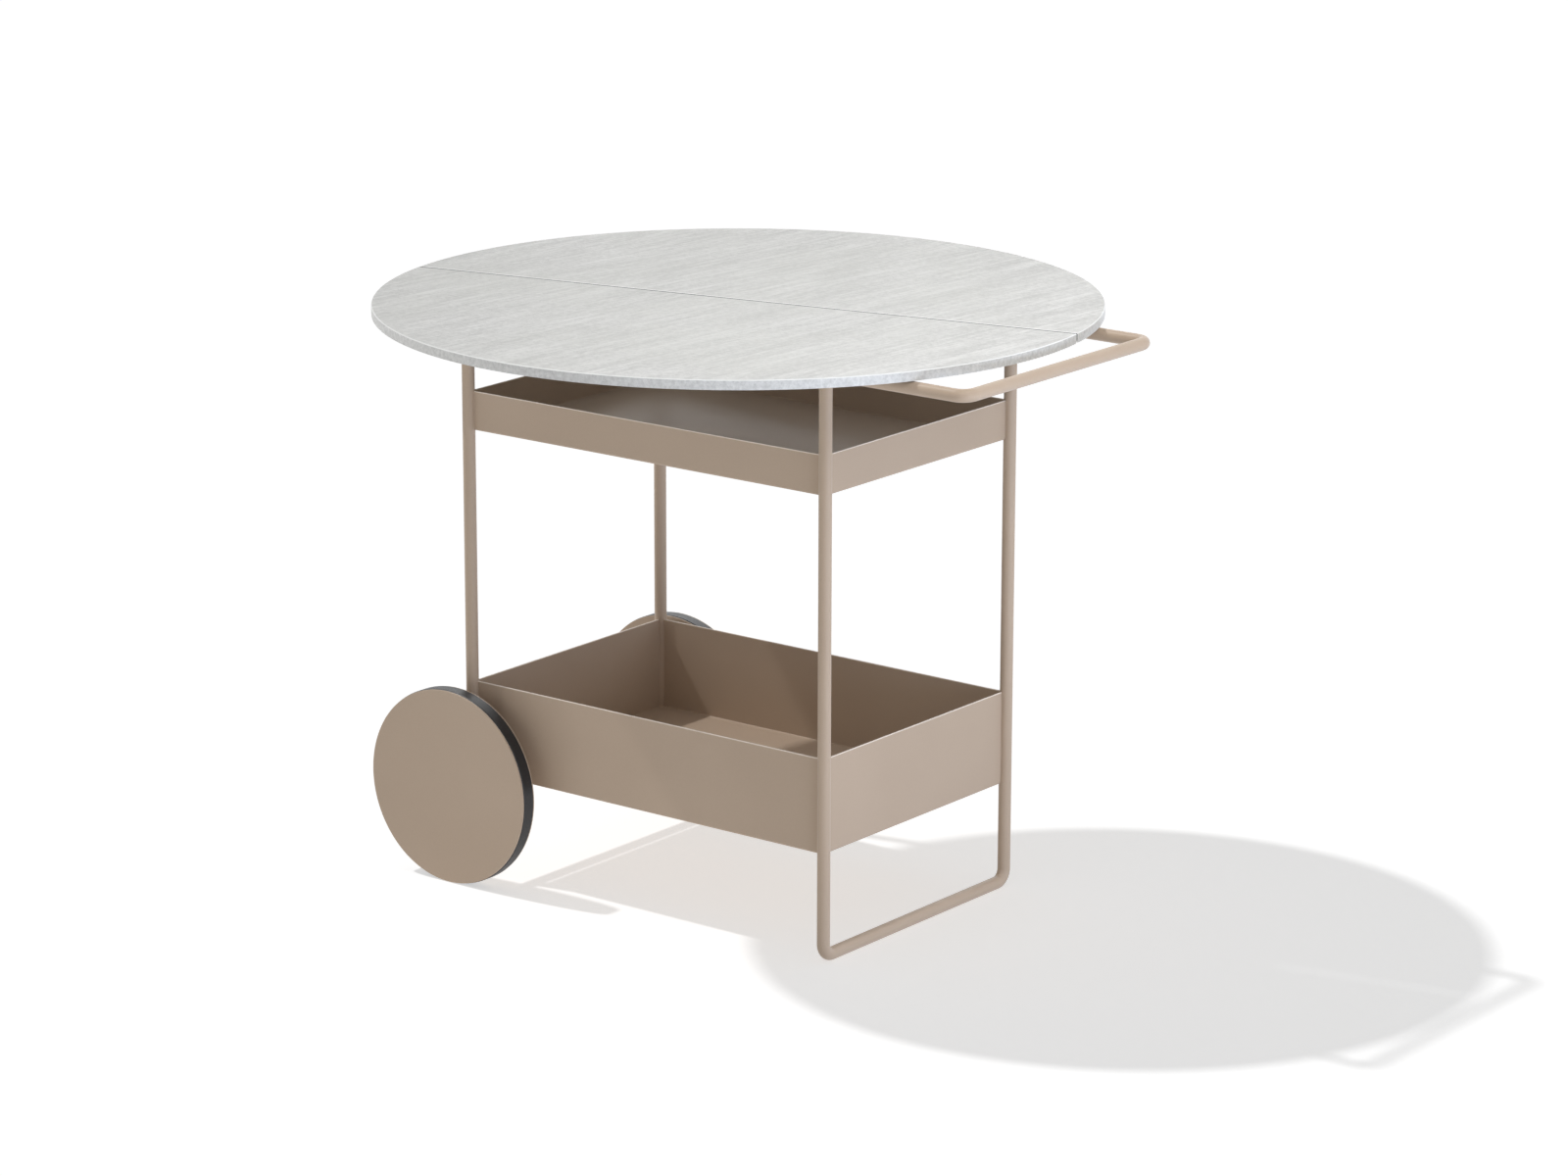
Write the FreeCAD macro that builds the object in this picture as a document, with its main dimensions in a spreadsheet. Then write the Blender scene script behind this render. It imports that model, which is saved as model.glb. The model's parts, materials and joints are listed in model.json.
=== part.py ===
import FreeCAD, Part
import math
import os

import Sketcher

# A room service table: two bent steel tubes carry two folded trays, an axle with two large wheels
# and a round top. The top is two half-moon leaves. The back leaf turns on a pivot over the frame,
# and the front leaf folds up and over onto it, on double-pivot hinges let into the underside.
#
# Frame of reference: +X towards the handle, +Y to the back, +Z up, millimetres, floor at Z = 0,
# origin under the middle of the overall length.

V = FreeCAD.Vector
# how far an edge may be from where it is looked for
SLACK = 0.01
doc = FreeCAD.newDocument("room_service_table")
sheet = doc.addObject("Spreadsheet::Sheet", "Sizes")

# ---------------------------------------------------------------------------------------------
# Driving dimensions: millimetres, degrees and counts
# ---------------------------------------------------------------------------------------------

SIZES = [
    # round top
    ("top_height", 750, "floor to the face of the top"),
    ("top_radius", 450, "radius of the round top"),
    ("leaf_thickness", 12, "thickness of both leaves"),
    ("leaf_bevel", 1, "bevel round the face of the top"),
    ("seam_bevel", 0.25, "bevel on the face along the seam"),
    ("seam_relief", 3, "bevel under the seam, where a leaf's heel swings"),
    ("seam_gap", 2, "slit between the two leaves"),
    ("seam_angle", 12, "turn of the seam from the frame's length"),
    # bent tubes
    ("tube_diameter", 16, "outside of the frame tubes"),
    ("tube_wall", 1.5, "wall of the frame tubes"),
    ("bend_radius", 16, "centre-line radius of every tube bend"),
    ("leg_span_long", 556, "leg axis to leg axis along X"),
    ("leg_span_wide", 375, "leg axis to leg axis along Y"),
    ("handle_reach", 202, "leg axis to handle bar axis"),
    ("rail_gap", 1.2, "top of the rails to the underside of the leaves"),
    ("weld_gap", 0.15, "gap that a weld bead fills"),
    ("cope_lap", 2, "how far a coped tube end reaches round the tube it meets"),
    # trays
    ("tray_sheet", 1.5, "sheet thickness of the trays"),
    ("tray_inset", 1.5, "tray walls behind the leg axes"),
    ("tray_bend", 3, "outside radius of the folds under the trays"),
    ("upper_tray_headroom", 109, "rim of the upper tray to the underside of the leaves"),
    ("upper_tray_depth", 50, "height of the upper tray"),
    ("lower_tray_bottom", 135.5, "underside of the lower tray"),
    ("lower_tray_depth", 120, "height of the lower tray"),
    # wheels
    ("wheel_radius", 126, "outside of the tyre, and height of the axle"),
    ("axle_offset", 3.5, "axle outside the leg axes"),
    ("wheel_gap", 17.3, "leg tube to the wheel's inner cover"),
    ("tyre_width", 18, "width of the tyre and of the core in it"),
    ("tyre_depth", 14, "radial depth of the tyre"),
    ("tyre_round", 1.5, "round on the tyre's shoulders"),
    ("cover_sheet", 2, "thickness of the wheel covers"),
    ("cover_shy", 0.7, "covers inside the tyre's outline"),
    ("cover_round", 0.8, "round on the covers' outer edge"),
    ("cover_opening", 15, "radius of the inner cover's middle hole"),
    ("peg_radius", 3, "radius of the pegs that hold the covers"),
    ("peg_length", 7, "length of those pegs"),
    ("peg_circle", 97, "radius of the circle that the pegs stand on"),
    ("peg_count", 3, "pegs on each cover"),
    ("pocket_radius", 24, "radius of the core's lightening holes"),
    ("pocket_circle", 60, "radius of the circle of lightening holes"),
    ("pocket_count", 6, "lightening holes in the core"),
    # axle
    ("axle_diameter", 12, "axle rod"),
    ("axle_tube_diameter", 18, "cross tube welded to the wheel legs"),
    ("axle_tube_lap", 1.5, "cross tube past the legs"),
    ("bush_wall", 2, "wall of every bush"),
    ("bush_flange", 3, "how far a bush's flange stands out past its sleeve"),
    ("bush_flange_thickness", 1.5, "thickness of that flange"),
    ("hub_floor", 8, "core's thickness under the counterbore"),
    ("counterbore_radius", 13, "radius of the hub's counterbore"),
    ("axle_washer_radius", 11, "washer at the axle's end"),
    ("washer_thickness", 2, "thickness of every washer"),
    ("axle_screw_diameter", 8, "screw in the axle's end"),
    ("axle_screw_length", 16, "length of that screw under its washer"),
    ("axle_head_radius", 6.8, "head of that screw"),
    ("axle_head_flat", 4.1, "radius of the flat on that head"),
    ("axle_head_edge", 1.9, "height of the head's straight edge"),
    ("axle_head_height", 3.8, "height of that head"),
    ("axle_socket_flats", 5, "hexagon socket in that head, across flats"),
    ("axle_socket_depth", 2.5, "depth of that socket"),
    ("running_gap", 0.05, "radial clearance of every turning fit"),
    ("seat_gap", 0.03, "radial clearance of every still fit"),
    ("face_gap", 0.2, "clearance between faces that slide past each other"),
    # swivel under the top
    ("bridge_width", 120, "channel between the rails, along X"),
    ("bridge_depth", 22, "depth of that channel"),
    ("bridge_sheet", 3, "sheet of that channel"),
    ("bridge_bend", 4.5, "outside radius of its folds"),
    ("glide_ring_radius", 50, "outside of the glide ring"),
    ("glide_ring_bore", 30, "inside radius of the glide ring"),
    ("glide_ring_thickness", 2, "thickness of the glide ring"),
    ("swivel_sheet", 3, "thickness of the swivel plate"),
    ("swivel_half_width", 85, "swivel plate each side of the pivot"),
    ("swivel_reach", 110, "swivel plate under the back leaf"),
    ("swivel_heel", 20, "swivel plate under the front leaf"),
    ("swivel_corner", 12, "corner radius of the swivel plate"),
    ("swivel_relief", 0.4, "step that keeps the plate clear of the front leaf"),
    ("pivot_diameter", 14, "pivot stud in its bush"),
    ("pivot_thread_diameter", 12, "thread under the stud's shoulder"),
    ("pivot_tail", 13, "length of that thread"),
    ("pivot_washer_radius", 12, "washer under the bush"),
    ("nut_flats", 18, "locknut across its flats"),
    ("nut_height", 9, "height of the locknut"),
    ("glide_radius", 6, "glide button on a rail"),
    ("glide_stem_radius", 3, "its stem in the rail"),
    ("glide_height", 0.9, "glide button above the rail"),
    ("glide_spacing", 400, "glide button to glide button along a rail"),
    # leaf hinges
    ("hinge_count", 4, "hinges along the seam"),
    ("hinge_pitch", 220, "hinge to hinge"),
    ("pin_diameter", 2.4, "hinge pins"),
    ("pin_offset", 4.8, "pin axis from the middle of the seam"),
    ("pin_drop", 3.8, "pin axis below the face of the top"),
    ("knuckle_radius", 2.1, "round of the links and ears about a pin"),
    ("link_width", 4, "width of a link along the seam"),
    ("link_throat", 4.5, "pin axis to the link's crossbar"),
    ("link_bar", 3, "thickness of that crossbar"),
    ("ear_width", 2.5, "width of a bracket's ear"),
    ("ear_reach", 10, "foot of the ears from the middle of the seam"),
    ("bracket_sheet", 3, "thickness of a bracket's plate"),
    ("bracket_half_width", 12, "bracket each side of its link"),
    ("bracket_reach", 26, "bracket's end from the middle of the seam"),
    ("fit_gap", 0.3, "clearance round let-in hinge parts"),
    # countersunk screws
    ("plate_screw_diameter", 5, "swivel plate screws"),
    ("plate_screw_head", 9, "their heads' diameter"),
    ("plate_screw_length", 11, "their length"),
    ("plate_screw_side", 68, "outer screws from the pivot along the seam"),
    ("plate_screw_near", 32, "first row of screws from the seam"),
    ("plate_screw_row", 60, "row to row"),
    ("bracket_screw_diameter", 3.5, "hinge bracket screws"),
    ("bracket_screw_head", 6.6, "their heads' diameter"),
    ("bracket_screw_length", 8, "their length"),
    ("bracket_screw_side", 7.5, "screw from the middle of its bracket"),
    ("bracket_screw_near", 18, "screw from the seam"),
    ("socket_share", 0.45, "hexagon socket across flats, as a share of its head"),
    ("pilot_gap", 0.1, "radial room round a screw in its hole"),
]

for row, (alias, number, meaning) in enumerate(SIZES, start=1):
    sheet.set(f"A{row}", alias)
    sheet.set(f"B{row}", str(number))
    sheet.set(f"C{row}", meaning)
    sheet.setAlias(f"B{row}", alias)
doc.recompute()


def cell(text):
    """An expression in which every size's name points into the sheet."""
    words = []
    for word in text.replace("(", " ( ").replace(")", " ) ").split():
        words.append(f"Sizes.{word}" if word in ALIASES else word)
    return "(" + " ".join(words) + ")"


def value(expression):
    """The number that an expression gives now."""
    return float(sheet.evalExpression(expression))


ALIASES = {alias for alias, _, _ in SIZES}

# ---------------------------------------------------------------------------------------------
# Places that several pieces share
# ---------------------------------------------------------------------------------------------

TUBE_R = cell("tube_diameter / 2")
BORE_R = cell("tube_diameter / 2 - tube_wall")
LEG_X = cell("leg_span_long / 2")
LEG_Y = cell("leg_span_wide / 2")
HANDLE_X = cell("leg_span_long / 2 + handle_reach")
LEAF_UNDERSIDE = cell("top_height - leaf_thickness")
RAIL_Z = cell("top_height - leaf_thickness - rail_gap - tube_diameter / 2")
WELD_R = cell("tube_diameter / 2 + weld_gap")
AXLE_X = cell("0 - leg_span_long / 2 - axle_offset")
WHEEL_Y = cell("leg_span_wide / 2 + tube_diameter / 2 + wheel_gap")
AXLE_TUBE_END = cell("leg_span_wide / 2 + tube_diameter / 2 + axle_tube_lap")
AXLE_R = cell("axle_diameter / 2")
CORE_R = cell("wheel_radius - tyre_depth")
COVER_R = cell("wheel_radius - cover_shy")
HUB_BORE_R = cell("axle_diameter / 2 + running_gap + bush_wall + seat_gap")
ORIGIN_X = cell("0 - ( leg_span_long / 2 + handle_reach + tube_diameter / 2 - top_radius ) / 2")

# along the axle, measured outwards from a wheel's inner face
CORE_INNER = cell("cover_sheet")
CORE_OUTER = cell("cover_sheet + tyre_width")
WHEEL_WIDTH = cell("cover_sheet * 2 + tyre_width")
HUB_SHELF = cell("cover_sheet + hub_floor")
AXLE_END = cell("cover_sheet + hub_floor + bush_flange_thickness + face_gap")
COLLAR_END = cell("cover_sheet - bush_flange_thickness - face_gap")

# down the pivot, measured from the underside of the leaves
RING_TOP = cell("0 - swivel_sheet - face_gap")
BRIDGE_TOP = cell("0 - swivel_sheet - face_gap - glide_ring_thickness")
BRIDGE_UNDER = cell("0 - swivel_sheet - face_gap - glide_ring_thickness - bridge_sheet")
BUSH_UNDER = cell("0 - swivel_sheet - face_gap - glide_ring_thickness - bridge_sheet - bush_flange_thickness")
SHOULDER = f"({BUSH_UNDER} - {cell('face_gap')})"
PIVOT_R = cell("pivot_diameter / 2")
PIVOT_HOLE_R = cell("pivot_diameter / 2 + running_gap + bush_wall + seat_gap")

# across the seam, measured from its middle, and up from the underside of the leaves
SEAM_EDGE = cell("seam_gap / 2")
PIN_Z = cell("leaf_thickness - pin_drop")
PIN_R = cell("pin_diameter / 2")
EAR_INNER = cell("link_width / 2 + fit_gap")
EAR_OUTER = cell("link_width / 2 + fit_gap + ear_width")
SLOT_END = cell("pin_offset + knuckle_radius + fit_gap")
FIRST_HINGE = cell("0 - ( hinge_count - 1 ) * hinge_pitch / 2")


# ---------------------------------------------------------------------------------------------
# Sketches and features
# ---------------------------------------------------------------------------------------------

def new_body(label, several=False):
    """A sub-part, which may be a group of separate solids."""
    body = doc.addObject("PartDesign::Body", label)
    body.Label = label
    body.AllowCompound = several
    return body


def origin_part(body, role):
    """One of the body's own origin planes or axes."""
    return next(part for part in body.Origin.OriginFeatures if part.Role == role)


def new_sketch(body, name, role, offset=None):
    """A sketch on an origin plane of its body, moved along that plane's normal.

    XZ_Plane faces -Y, so an offset there counts towards -Y.
    """
    sketch = body.newObject("Sketcher::SketchObject", f"{body.Name}_{name}")
    sketch.AttachmentSupport = (origin_part(body, role), [""])
    sketch.MapMode = "FlatFace"
    if offset is not None:
        sketch.setExpression("AttachmentOffset.Base.z", offset)
    return sketch


def fix(sketch, kind, geometry, expression):
    """A dimension of the sketch, bound to the sheet."""
    sketch.addConstraint(Sketcher.Constraint(kind, *geometry, value(expression)))
    sketch.setExpression(f"Constraints[{sketch.ConstraintCount - 1}]", expression)


def pin_point(sketch, geometry, end, point):
    """A point of the sketch, held at its place from the origin."""
    for kind, expression in zip(("DistanceX", "DistanceY"), point):
        fix(sketch, kind, (-1, 1, geometry, end), expression)


def as_vector(point):
    return V(value(point[0]), value(point[1]), 0)


def draw_circle(sketch, centre, radius):
    index = sketch.addGeometry(Part.Circle(as_vector(centre), V(0, 0, 1), value(radius)))
    pin_point(sketch, index, 3, centre)
    fix(sketch, "Radius", (index,), radius)


def arc_through(start, end, centre, turn):
    """An arc from start to end, which turns left (+1) or right (-1)."""
    first, last = (start, end) if turn > 0 else (end, start)
    angles = [math.atan2(p.y - centre.y, p.x - centre.x) for p in (first, last)]
    return Part.ArcOfCircle(Part.Circle(centre, V(0, 0, 1), (start - centre).Length), *angles)


def draw_path(sketch, steps, closed):
    """Lines and arcs through points.

    A step is (point,) for a line to the next point, or (point, centre, turn) for an arc to it.
    Both ends of an arc are held, and its centre is held across the chord between them.
    """
    count = len(steps) if closed else len(steps) - 1
    ends = []
    for number in range(count):
        step = steps[number]
        start = as_vector(step[0])
        end = as_vector(steps[(number + 1) % len(steps)][0])
        if len(step) == 1:
            index = sketch.addGeometry(Part.LineSegment(start, end))
            ends.append((index, 1, 2))
            continue
        _, centre, turn = step
        index = sketch.addGeometry(arc_through(start, end, as_vector(centre), turn))
        ends.append((index, 1, 2) if turn > 0 else (index, 2, 1))
        chord = end - start
        kind, across = ("DistanceY", centre[1]) if abs(chord.x) > abs(chord.y) else ("DistanceX", centre[0])
        fix(sketch, kind, (-1, 1, index, 3), across)
    for number, (index, first, last) in enumerate(ends):
        pin_point(sketch, index, first, steps[number][0])
        following = ends[(number + 1) % len(ends)]
        if closed or number + 1 < len(ends):
            joint = Sketcher.Constraint("Coincident", index, last, following[0], following[1])
            sketch.addConstraint(joint)
    if not closed:
        index, _, last = ends[-1]
        pin_point(sketch, index, last, steps[-1][0])


def draw_rectangle(sketch, left, right, low, high):
    corners = [(left, low), (right, low), (right, high), (left, high)]
    draw_path(sketch, [(corner,) for corner in corners], closed=True)


def draw_hexagon(sketch, centre, corner):
    points = []
    for number in range(6):
        angle = 60 * number
        x = f"({centre[0]} + {corner} * cos({angle}))"
        y = f"({centre[1]} + {corner} * sin({angle}))"
        points.append(((x, y),))
    draw_path(sketch, points, closed=True)


def pad(body, sketch, length, reverse=False):
    feature = body.newObject("PartDesign::Pad", f"{sketch.Name}_pad")
    feature.Profile = sketch
    feature.Reversed = reverse
    feature.setExpression("Length", length)
    doc.recompute()
    return feature


def pocket(body, sketch, length, reverse=False):
    """A cut against the sketch's normal, or along it when reversed. It has to remove something."""
    before = body.Shape.Volume
    feature = body.newObject("PartDesign::Pocket", f"{sketch.Name}_pocket")
    feature.Profile = sketch
    feature.Reversed = reverse
    feature.setExpression("Length", length)
    doc.recompute()
    if body.Shape.Volume >= before:
        raise ValueError(f"{feature.Name} cuts nothing")
    return feature


def cut_through(body, sketch):
    """A cut right through the piece, both ways from the sketch."""
    before = body.Shape.Volume
    feature = body.newObject("PartDesign::Pocket", f"{sketch.Name}_cut")
    feature.Profile = sketch
    feature.SideType = "Symmetric"
    feature.Type = "ThroughAll"
    doc.recompute()
    if body.Shape.Volume >= before:
        raise ValueError(f"{feature.Name} cuts nothing")
    return feature


def revolve(body, sketch):
    """A full turn of the profile about its sketch's vertical axis."""
    feature = body.newObject("PartDesign::Revolution", f"{sketch.Name}_turned")
    feature.Profile = sketch
    feature.ReferenceAxis = (sketch, ["V_Axis"])
    feature.Angle = 360
    doc.recompute()
    return feature


def dress_edges(body, kind, name, size, wanted):
    """A PartDesign Fillet or Chamfer on the edges of the body that are wanted."""
    base = body.Tip
    edges = [f"Edge{n}" for n, edge in enumerate(base.Shape.Edges, start=1) if wanted(edge)]
    feature = body.newObject(f"PartDesign::{kind}", f"{body.Name}_{name}")
    feature.Base = (base, edges)
    feature.setExpression("Radius" if kind == "Fillet" else "Size", size)
    doc.recompute()
    return feature


def flat_at(edge, height):
    """Whether the whole edge lies at one height."""
    box = edge.BoundBox
    return abs(box.ZMin - height) < SLACK and abs(box.ZMax - height) < SLACK


def is_round(edge):
    return edge.Curve.TypeId == "Part::GeomCircle"


def is_straight(edge):
    return edge.Curve.TypeId == "Part::GeomLine"


def work_out(body, pattern):
    """Ends the body in the new pattern, whose copies have to change its volume."""
    before = body.Shape.Volume
    body.Tip = pattern
    doc.recompute()
    if math.isclose(body.Shape.Volume, before, rel_tol=1e-9):
        raise ValueError(f"{pattern.Name} copies nothing")


def polar_copies(body, features, count):
    pattern = body.newObject("PartDesign::PolarPattern", f"{body.Name}_ring{len(body.Group)}")
    pattern.Originals = features
    pattern.Axis = (origin_part(body, "Z_Axis"), [""])
    pattern.Angle = 360
    pattern.setExpression("Occurrences", count)
    work_out(body, pattern)


def row_copies(body, features, role, pitch, count):
    """Copies in a row of the given features, or of the whole body when none is given."""
    pattern = body.newObject("PartDesign::LinearPattern", f"{body.Name}_row{len(body.Group)}")
    if features:
        pattern.Originals = features
    else:
        pattern.TransformMode = "Whole shape"
    pattern.Direction = (origin_part(body, role), [""])
    pattern.Mode = "Spacing"
    pattern.setExpression("Offset", pitch)
    pattern.setExpression("Occurrences", count)
    work_out(body, pattern)


def mirror_copy(body, features, role):
    pattern = body.newObject("PartDesign::Mirrored", f"{body.Name}_mirror{len(body.Group)}")
    pattern.Originals = features
    pattern.MirrorPlane = (origin_part(body, role), [""])
    work_out(body, pattern)


def place(body, x="0", y="0", z="0", rotation=None, turn=None):
    """Where a body's own frame lies. A turn is an angle about Z, bound to the sheet."""
    if rotation is not None:
        body.Placement = FreeCAD.Placement(V(0, 0, 0), rotation)
    if turn is not None:
        body.Placement = FreeCAD.Placement(V(0, 0, 0), FreeCAD.Rotation(V(0, 0, 1), 1))
        body.setExpression("Placement.Rotation.Angle", turn)
    body.setExpression("Placement.Base.x", f"{ORIGIN_X} + {x}")
    body.setExpression("Placement.Base.y", y)
    body.setExpression("Placement.Base.z", z)
    doc.recompute()


def minus(expression):
    return f"(0 - {expression})"


# ---------------------------------------------------------------------------------------------
# Bent tubes
# ---------------------------------------------------------------------------------------------

def tube_section(sketch, centre):
    """The ring-shaped section of the frame's tube."""
    draw_circle(sketch, centre, TUBE_R)
    draw_circle(sketch, centre, BORE_R)


def pipe(body, section, path):
    feature = body.newObject("PartDesign::AdditivePipe", f"{path.Name}_pipe")
    feature.Profile = section
    feature.Spine = (path, [f"Edge{n}" for n in range(1, path.GeometryCount + 1)])
    doc.recompute()
    return feature


def make_frame_tube():
    """One tube: up a wheel leg, along a rail, round the handle, back along the other rail and down."""
    body = new_body("frame_tube")
    bend = cell("bend_radius")

    # the handle and the handle-side half of both rails
    grip = new_sketch(body, "grip", "XY_Plane", RAIL_Z)
    corner = f"({HANDLE_X} - {bend})"
    near_end = f"(0 - {LEG_Y} + {bend})"
    far_end = f"({LEG_Y} - {bend})"
    draw_path(grip, [
        (("0", minus(LEG_Y)),),
        ((corner, minus(LEG_Y)), (corner, near_end), 1),
        ((HANDLE_X, near_end),),
        ((HANDLE_X, far_end), (corner, far_end), 1),
        ((corner, LEG_Y),),
        (("0", LEG_Y),),
    ], closed=False)
    rail_section = new_sketch(body, "rail_section", "YZ_Plane")
    tube_section(rail_section, (minus(LEG_Y), RAIL_Z))
    pipe(body, rail_section, grip)

    # a wheel leg with the rest of its rail, and the same on the other side
    leg_foot = cell("wheel_radius + cope_lap")
    leg = minus(LEG_X)
    bend_end = f"({leg} + {bend})"
    bend_start = f"({RAIL_Z} - {bend})"
    side = new_sketch(body, "side", "XZ_Plane", LEG_Y)
    draw_path(side, [
        ((leg, leg_foot),),
        ((leg, bend_start), (bend_end, bend_start), -1),
        ((bend_end, RAIL_Z),),
        (("0", RAIL_Z),),
    ], closed=False)
    foot_section = new_sketch(body, "foot_section", "XY_Plane", leg_foot)
    tube_section(foot_section, (leg, minus(LEG_Y)))
    leg_and_rail = pipe(body, foot_section, side)
    mirror_copy(body, [leg_and_rail], "XZ_Plane")

    # the wheel legs are coped to sit on the cross tube
    saddle = new_sketch(body, "saddle", "XZ_Plane")
    draw_circle(saddle, (AXLE_X, cell("wheel_radius")), cell("axle_tube_diameter / 2 + weld_gap"))
    cut_through(body, saddle)

    # holes in the rails for the stems of the glide buttons
    stems = new_sketch(body, "stems", "XY_Plane", RAIL_Z)
    for side_x in (minus(cell("glide_spacing / 2")), cell("glide_spacing / 2")):
        for side_y in (minus(LEG_Y), LEG_Y):
            draw_circle(stems, (side_x, side_y), cell("glide_stem_radius + seat_gap"))
    pocket(body, stems, TUBE_R, reverse=True)
    place(body)


def make_sled_tube():
    """One tube: down a leg, along the floor and up the other leg, on the handle side."""
    body = new_body("sled_tube")
    bend = cell("bend_radius")
    head = f"({RAIL_Z} - {cell('cope_lap')})"
    floor = TUBE_R
    bend_top = f"({floor} + {bend})"
    near_end = f"(0 - {LEG_Y} + {bend})"
    far_end = f"({LEG_Y} - {bend})"

    path = new_sketch(body, "path", "YZ_Plane", LEG_X)
    draw_path(path, [
        ((minus(LEG_Y), head),),
        ((minus(LEG_Y), bend_top), (near_end, bend_top), 1),
        ((near_end, floor),),
        ((far_end, floor), (far_end, bend_top), 1),
        ((LEG_Y, bend_top),),
        ((LEG_Y, head),),
    ], closed=False)
    section = new_sketch(body, "section", "XY_Plane", head)
    tube_section(section, (LEG_X, minus(LEG_Y)))
    pipe(body, section, path)

    # both leg heads are coped to fit under the rails
    saddle = new_sketch(body, "saddle", "YZ_Plane", LEG_X)
    for side_y in (minus(LEG_Y), LEG_Y):
        draw_circle(saddle, (side_y, RAIL_Z), WELD_R)
    cut_through(body, saddle)
    place(body)


# ---------------------------------------------------------------------------------------------
# Folded trays
# ---------------------------------------------------------------------------------------------

def make_tray(label, bottom, depth):
    """A tray folded from sheet, with its corners cut to the four legs."""
    body = new_body(label)
    half_long = f"({LEG_X} - {cell('tray_inset')})"
    half_wide = f"({LEG_Y} - {cell('tray_inset')})"
    inner_long = f"({half_long} - {cell('tray_sheet')})"
    inner_wide = f"({half_wide} - {cell('tray_sheet')})"
    low = value(bottom)
    floor = low + value(cell("tray_sheet"))

    outline = new_sketch(body, "outline", "XY_Plane", bottom)
    draw_rectangle(outline, minus(half_long), half_long, minus(half_wide), half_wide)
    pad(body, outline, depth)
    dress_edges(body, "Fillet", "fold", cell("tray_bend"), lambda edge: flat_at(edge, low))

    inside = new_sketch(body, "inside", "XY_Plane", f"({bottom} + {depth})")
    draw_rectangle(inside, minus(inner_long), inner_long, minus(inner_wide), inner_wide)
    pocket(body, inside, f"({depth} - {cell('tray_sheet')})")
    dress_edges(body, "Fillet", "inner_fold", cell("tray_bend - tray_sheet"),
                lambda edge: flat_at(edge, floor))

    notches = new_sketch(body, "notches", "XY_Plane", bottom)
    for side_x in (minus(LEG_X), LEG_X):
        for side_y in (minus(LEG_Y), LEG_Y):
            draw_circle(notches, (side_x, side_y), WELD_R)
    cut_through(body, notches)
    place(body)


# ---------------------------------------------------------------------------------------------
# Axle
# ---------------------------------------------------------------------------------------------

# an axle piece is modelled along its own Z, and laid along Y
ALONG_Y = FreeCAD.Rotation(V(1, 0, 0), -90)
ALONG_MINUS_Y = FreeCAD.Rotation(V(1, 0, 0), 90)


def place_on_axle(body, y="0", rotation=ALONG_Y):
    place(body, x=AXLE_X, y=y, z=cell("wheel_radius"), rotation=rotation)


def make_axle_tube():
    body = new_body("axle_tube")
    section = new_sketch(body, "section", "XY_Plane", minus(AXLE_TUBE_END))
    draw_circle(section, ("0", "0"), cell("axle_tube_diameter / 2"))
    draw_circle(section, ("0", "0"), cell("axle_diameter / 2 + seat_gap"))
    pad(body, section, f"({AXLE_TUBE_END} * 2)")
    place_on_axle(body)


def make_axle_rod():
    """The rod that both wheels turn on, tapped at both ends."""
    body = new_body("axle_rod")
    half = f"({WHEEL_Y} + {AXLE_END})"
    section = new_sketch(body, "section", "XY_Plane", minus(half))
    draw_circle(section, ("0", "0"), AXLE_R)
    pad(body, section, f"({half} * 2)")
    depth = cell("axle_screw_length")
    tapped = cell("axle_screw_diameter / 2 + seat_gap")
    near_hole = new_sketch(body, "near_hole", "XY_Plane", minus(half))
    draw_circle(near_hole, ("0", "0"), tapped)
    pocket(body, near_hole, depth, reverse=True)
    far_hole = new_sketch(body, "far_hole", "XY_Plane", half)
    draw_circle(far_hole, ("0", "0"), tapped)
    pocket(body, far_hole, depth)
    place_on_axle(body)


def make_axle_pair(label, profile_points, socket=None):
    """Two turned pieces, one at each end of the axle, as mirror images.

    A hexagon socket is given as the height of its face, its corner radius and its depth.
    """
    body = new_body(label, several=True)
    profile = new_sketch(body, "profile", "XZ_Plane")
    draw_path(profile, [(point,) for point in profile_points], closed=True)
    features = [revolve(body, profile)]
    if socket is not None:
        face, corner, depth = socket
        hexagon = new_sketch(body, "socket", "XY_Plane", face)
        draw_hexagon(hexagon, ("0", "0"), corner)
        features.append(pocket(body, hexagon, depth))
    mirror_copy(body, features, "XY_Plane")
    place_on_axle(body)


def make_axle_ends():
    """Collars between cross tube and wheels, and the screws and washers that keep the wheels on."""
    bore = cell("axle_diameter / 2 + seat_gap")
    collar_r = cell("axle_tube_diameter / 2")
    collar_end = f"({WHEEL_Y} + {COLLAR_END})"
    make_axle_pair("axle_collars", [
        (bore, AXLE_TUBE_END), (collar_r, AXLE_TUBE_END), (collar_r, collar_end), (bore, collar_end)])

    seat = f"({WHEEL_Y} + {AXLE_END})"
    washer_top = f"({seat} + {cell('washer_thickness')})"
    washer_bore = cell("axle_screw_diameter / 2 + seat_gap")
    washer_r = cell("axle_washer_radius")
    make_axle_pair("axle_washers", [
        (washer_bore, seat), (washer_r, seat), (washer_r, washer_top), (washer_bore, washer_top)])

    shank_r = cell("axle_screw_diameter / 2")
    tip = f"({seat} - {cell('axle_screw_length')} + {cell('face_gap')})"
    head_top = f"({washer_top} + {cell('axle_head_height')})"
    head_edge = f"({washer_top} + {cell('axle_head_edge')})"
    head_r = cell("axle_head_radius")
    socket_corner = f"({cell('axle_socket_flats / 2')} / cos(30))"
    make_axle_pair("axle_screws", [
        ("0", tip), (shank_r, tip), (shank_r, washer_top), (head_r, washer_top),
        (head_r, head_edge), (cell("axle_head_flat"), head_top), ("0", head_top),
    ], socket=(head_top, socket_corner, cell("axle_socket_depth")))


# ---------------------------------------------------------------------------------------------
# Wheels, modelled along their own Z, outwards from the inner face
# ---------------------------------------------------------------------------------------------

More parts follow.
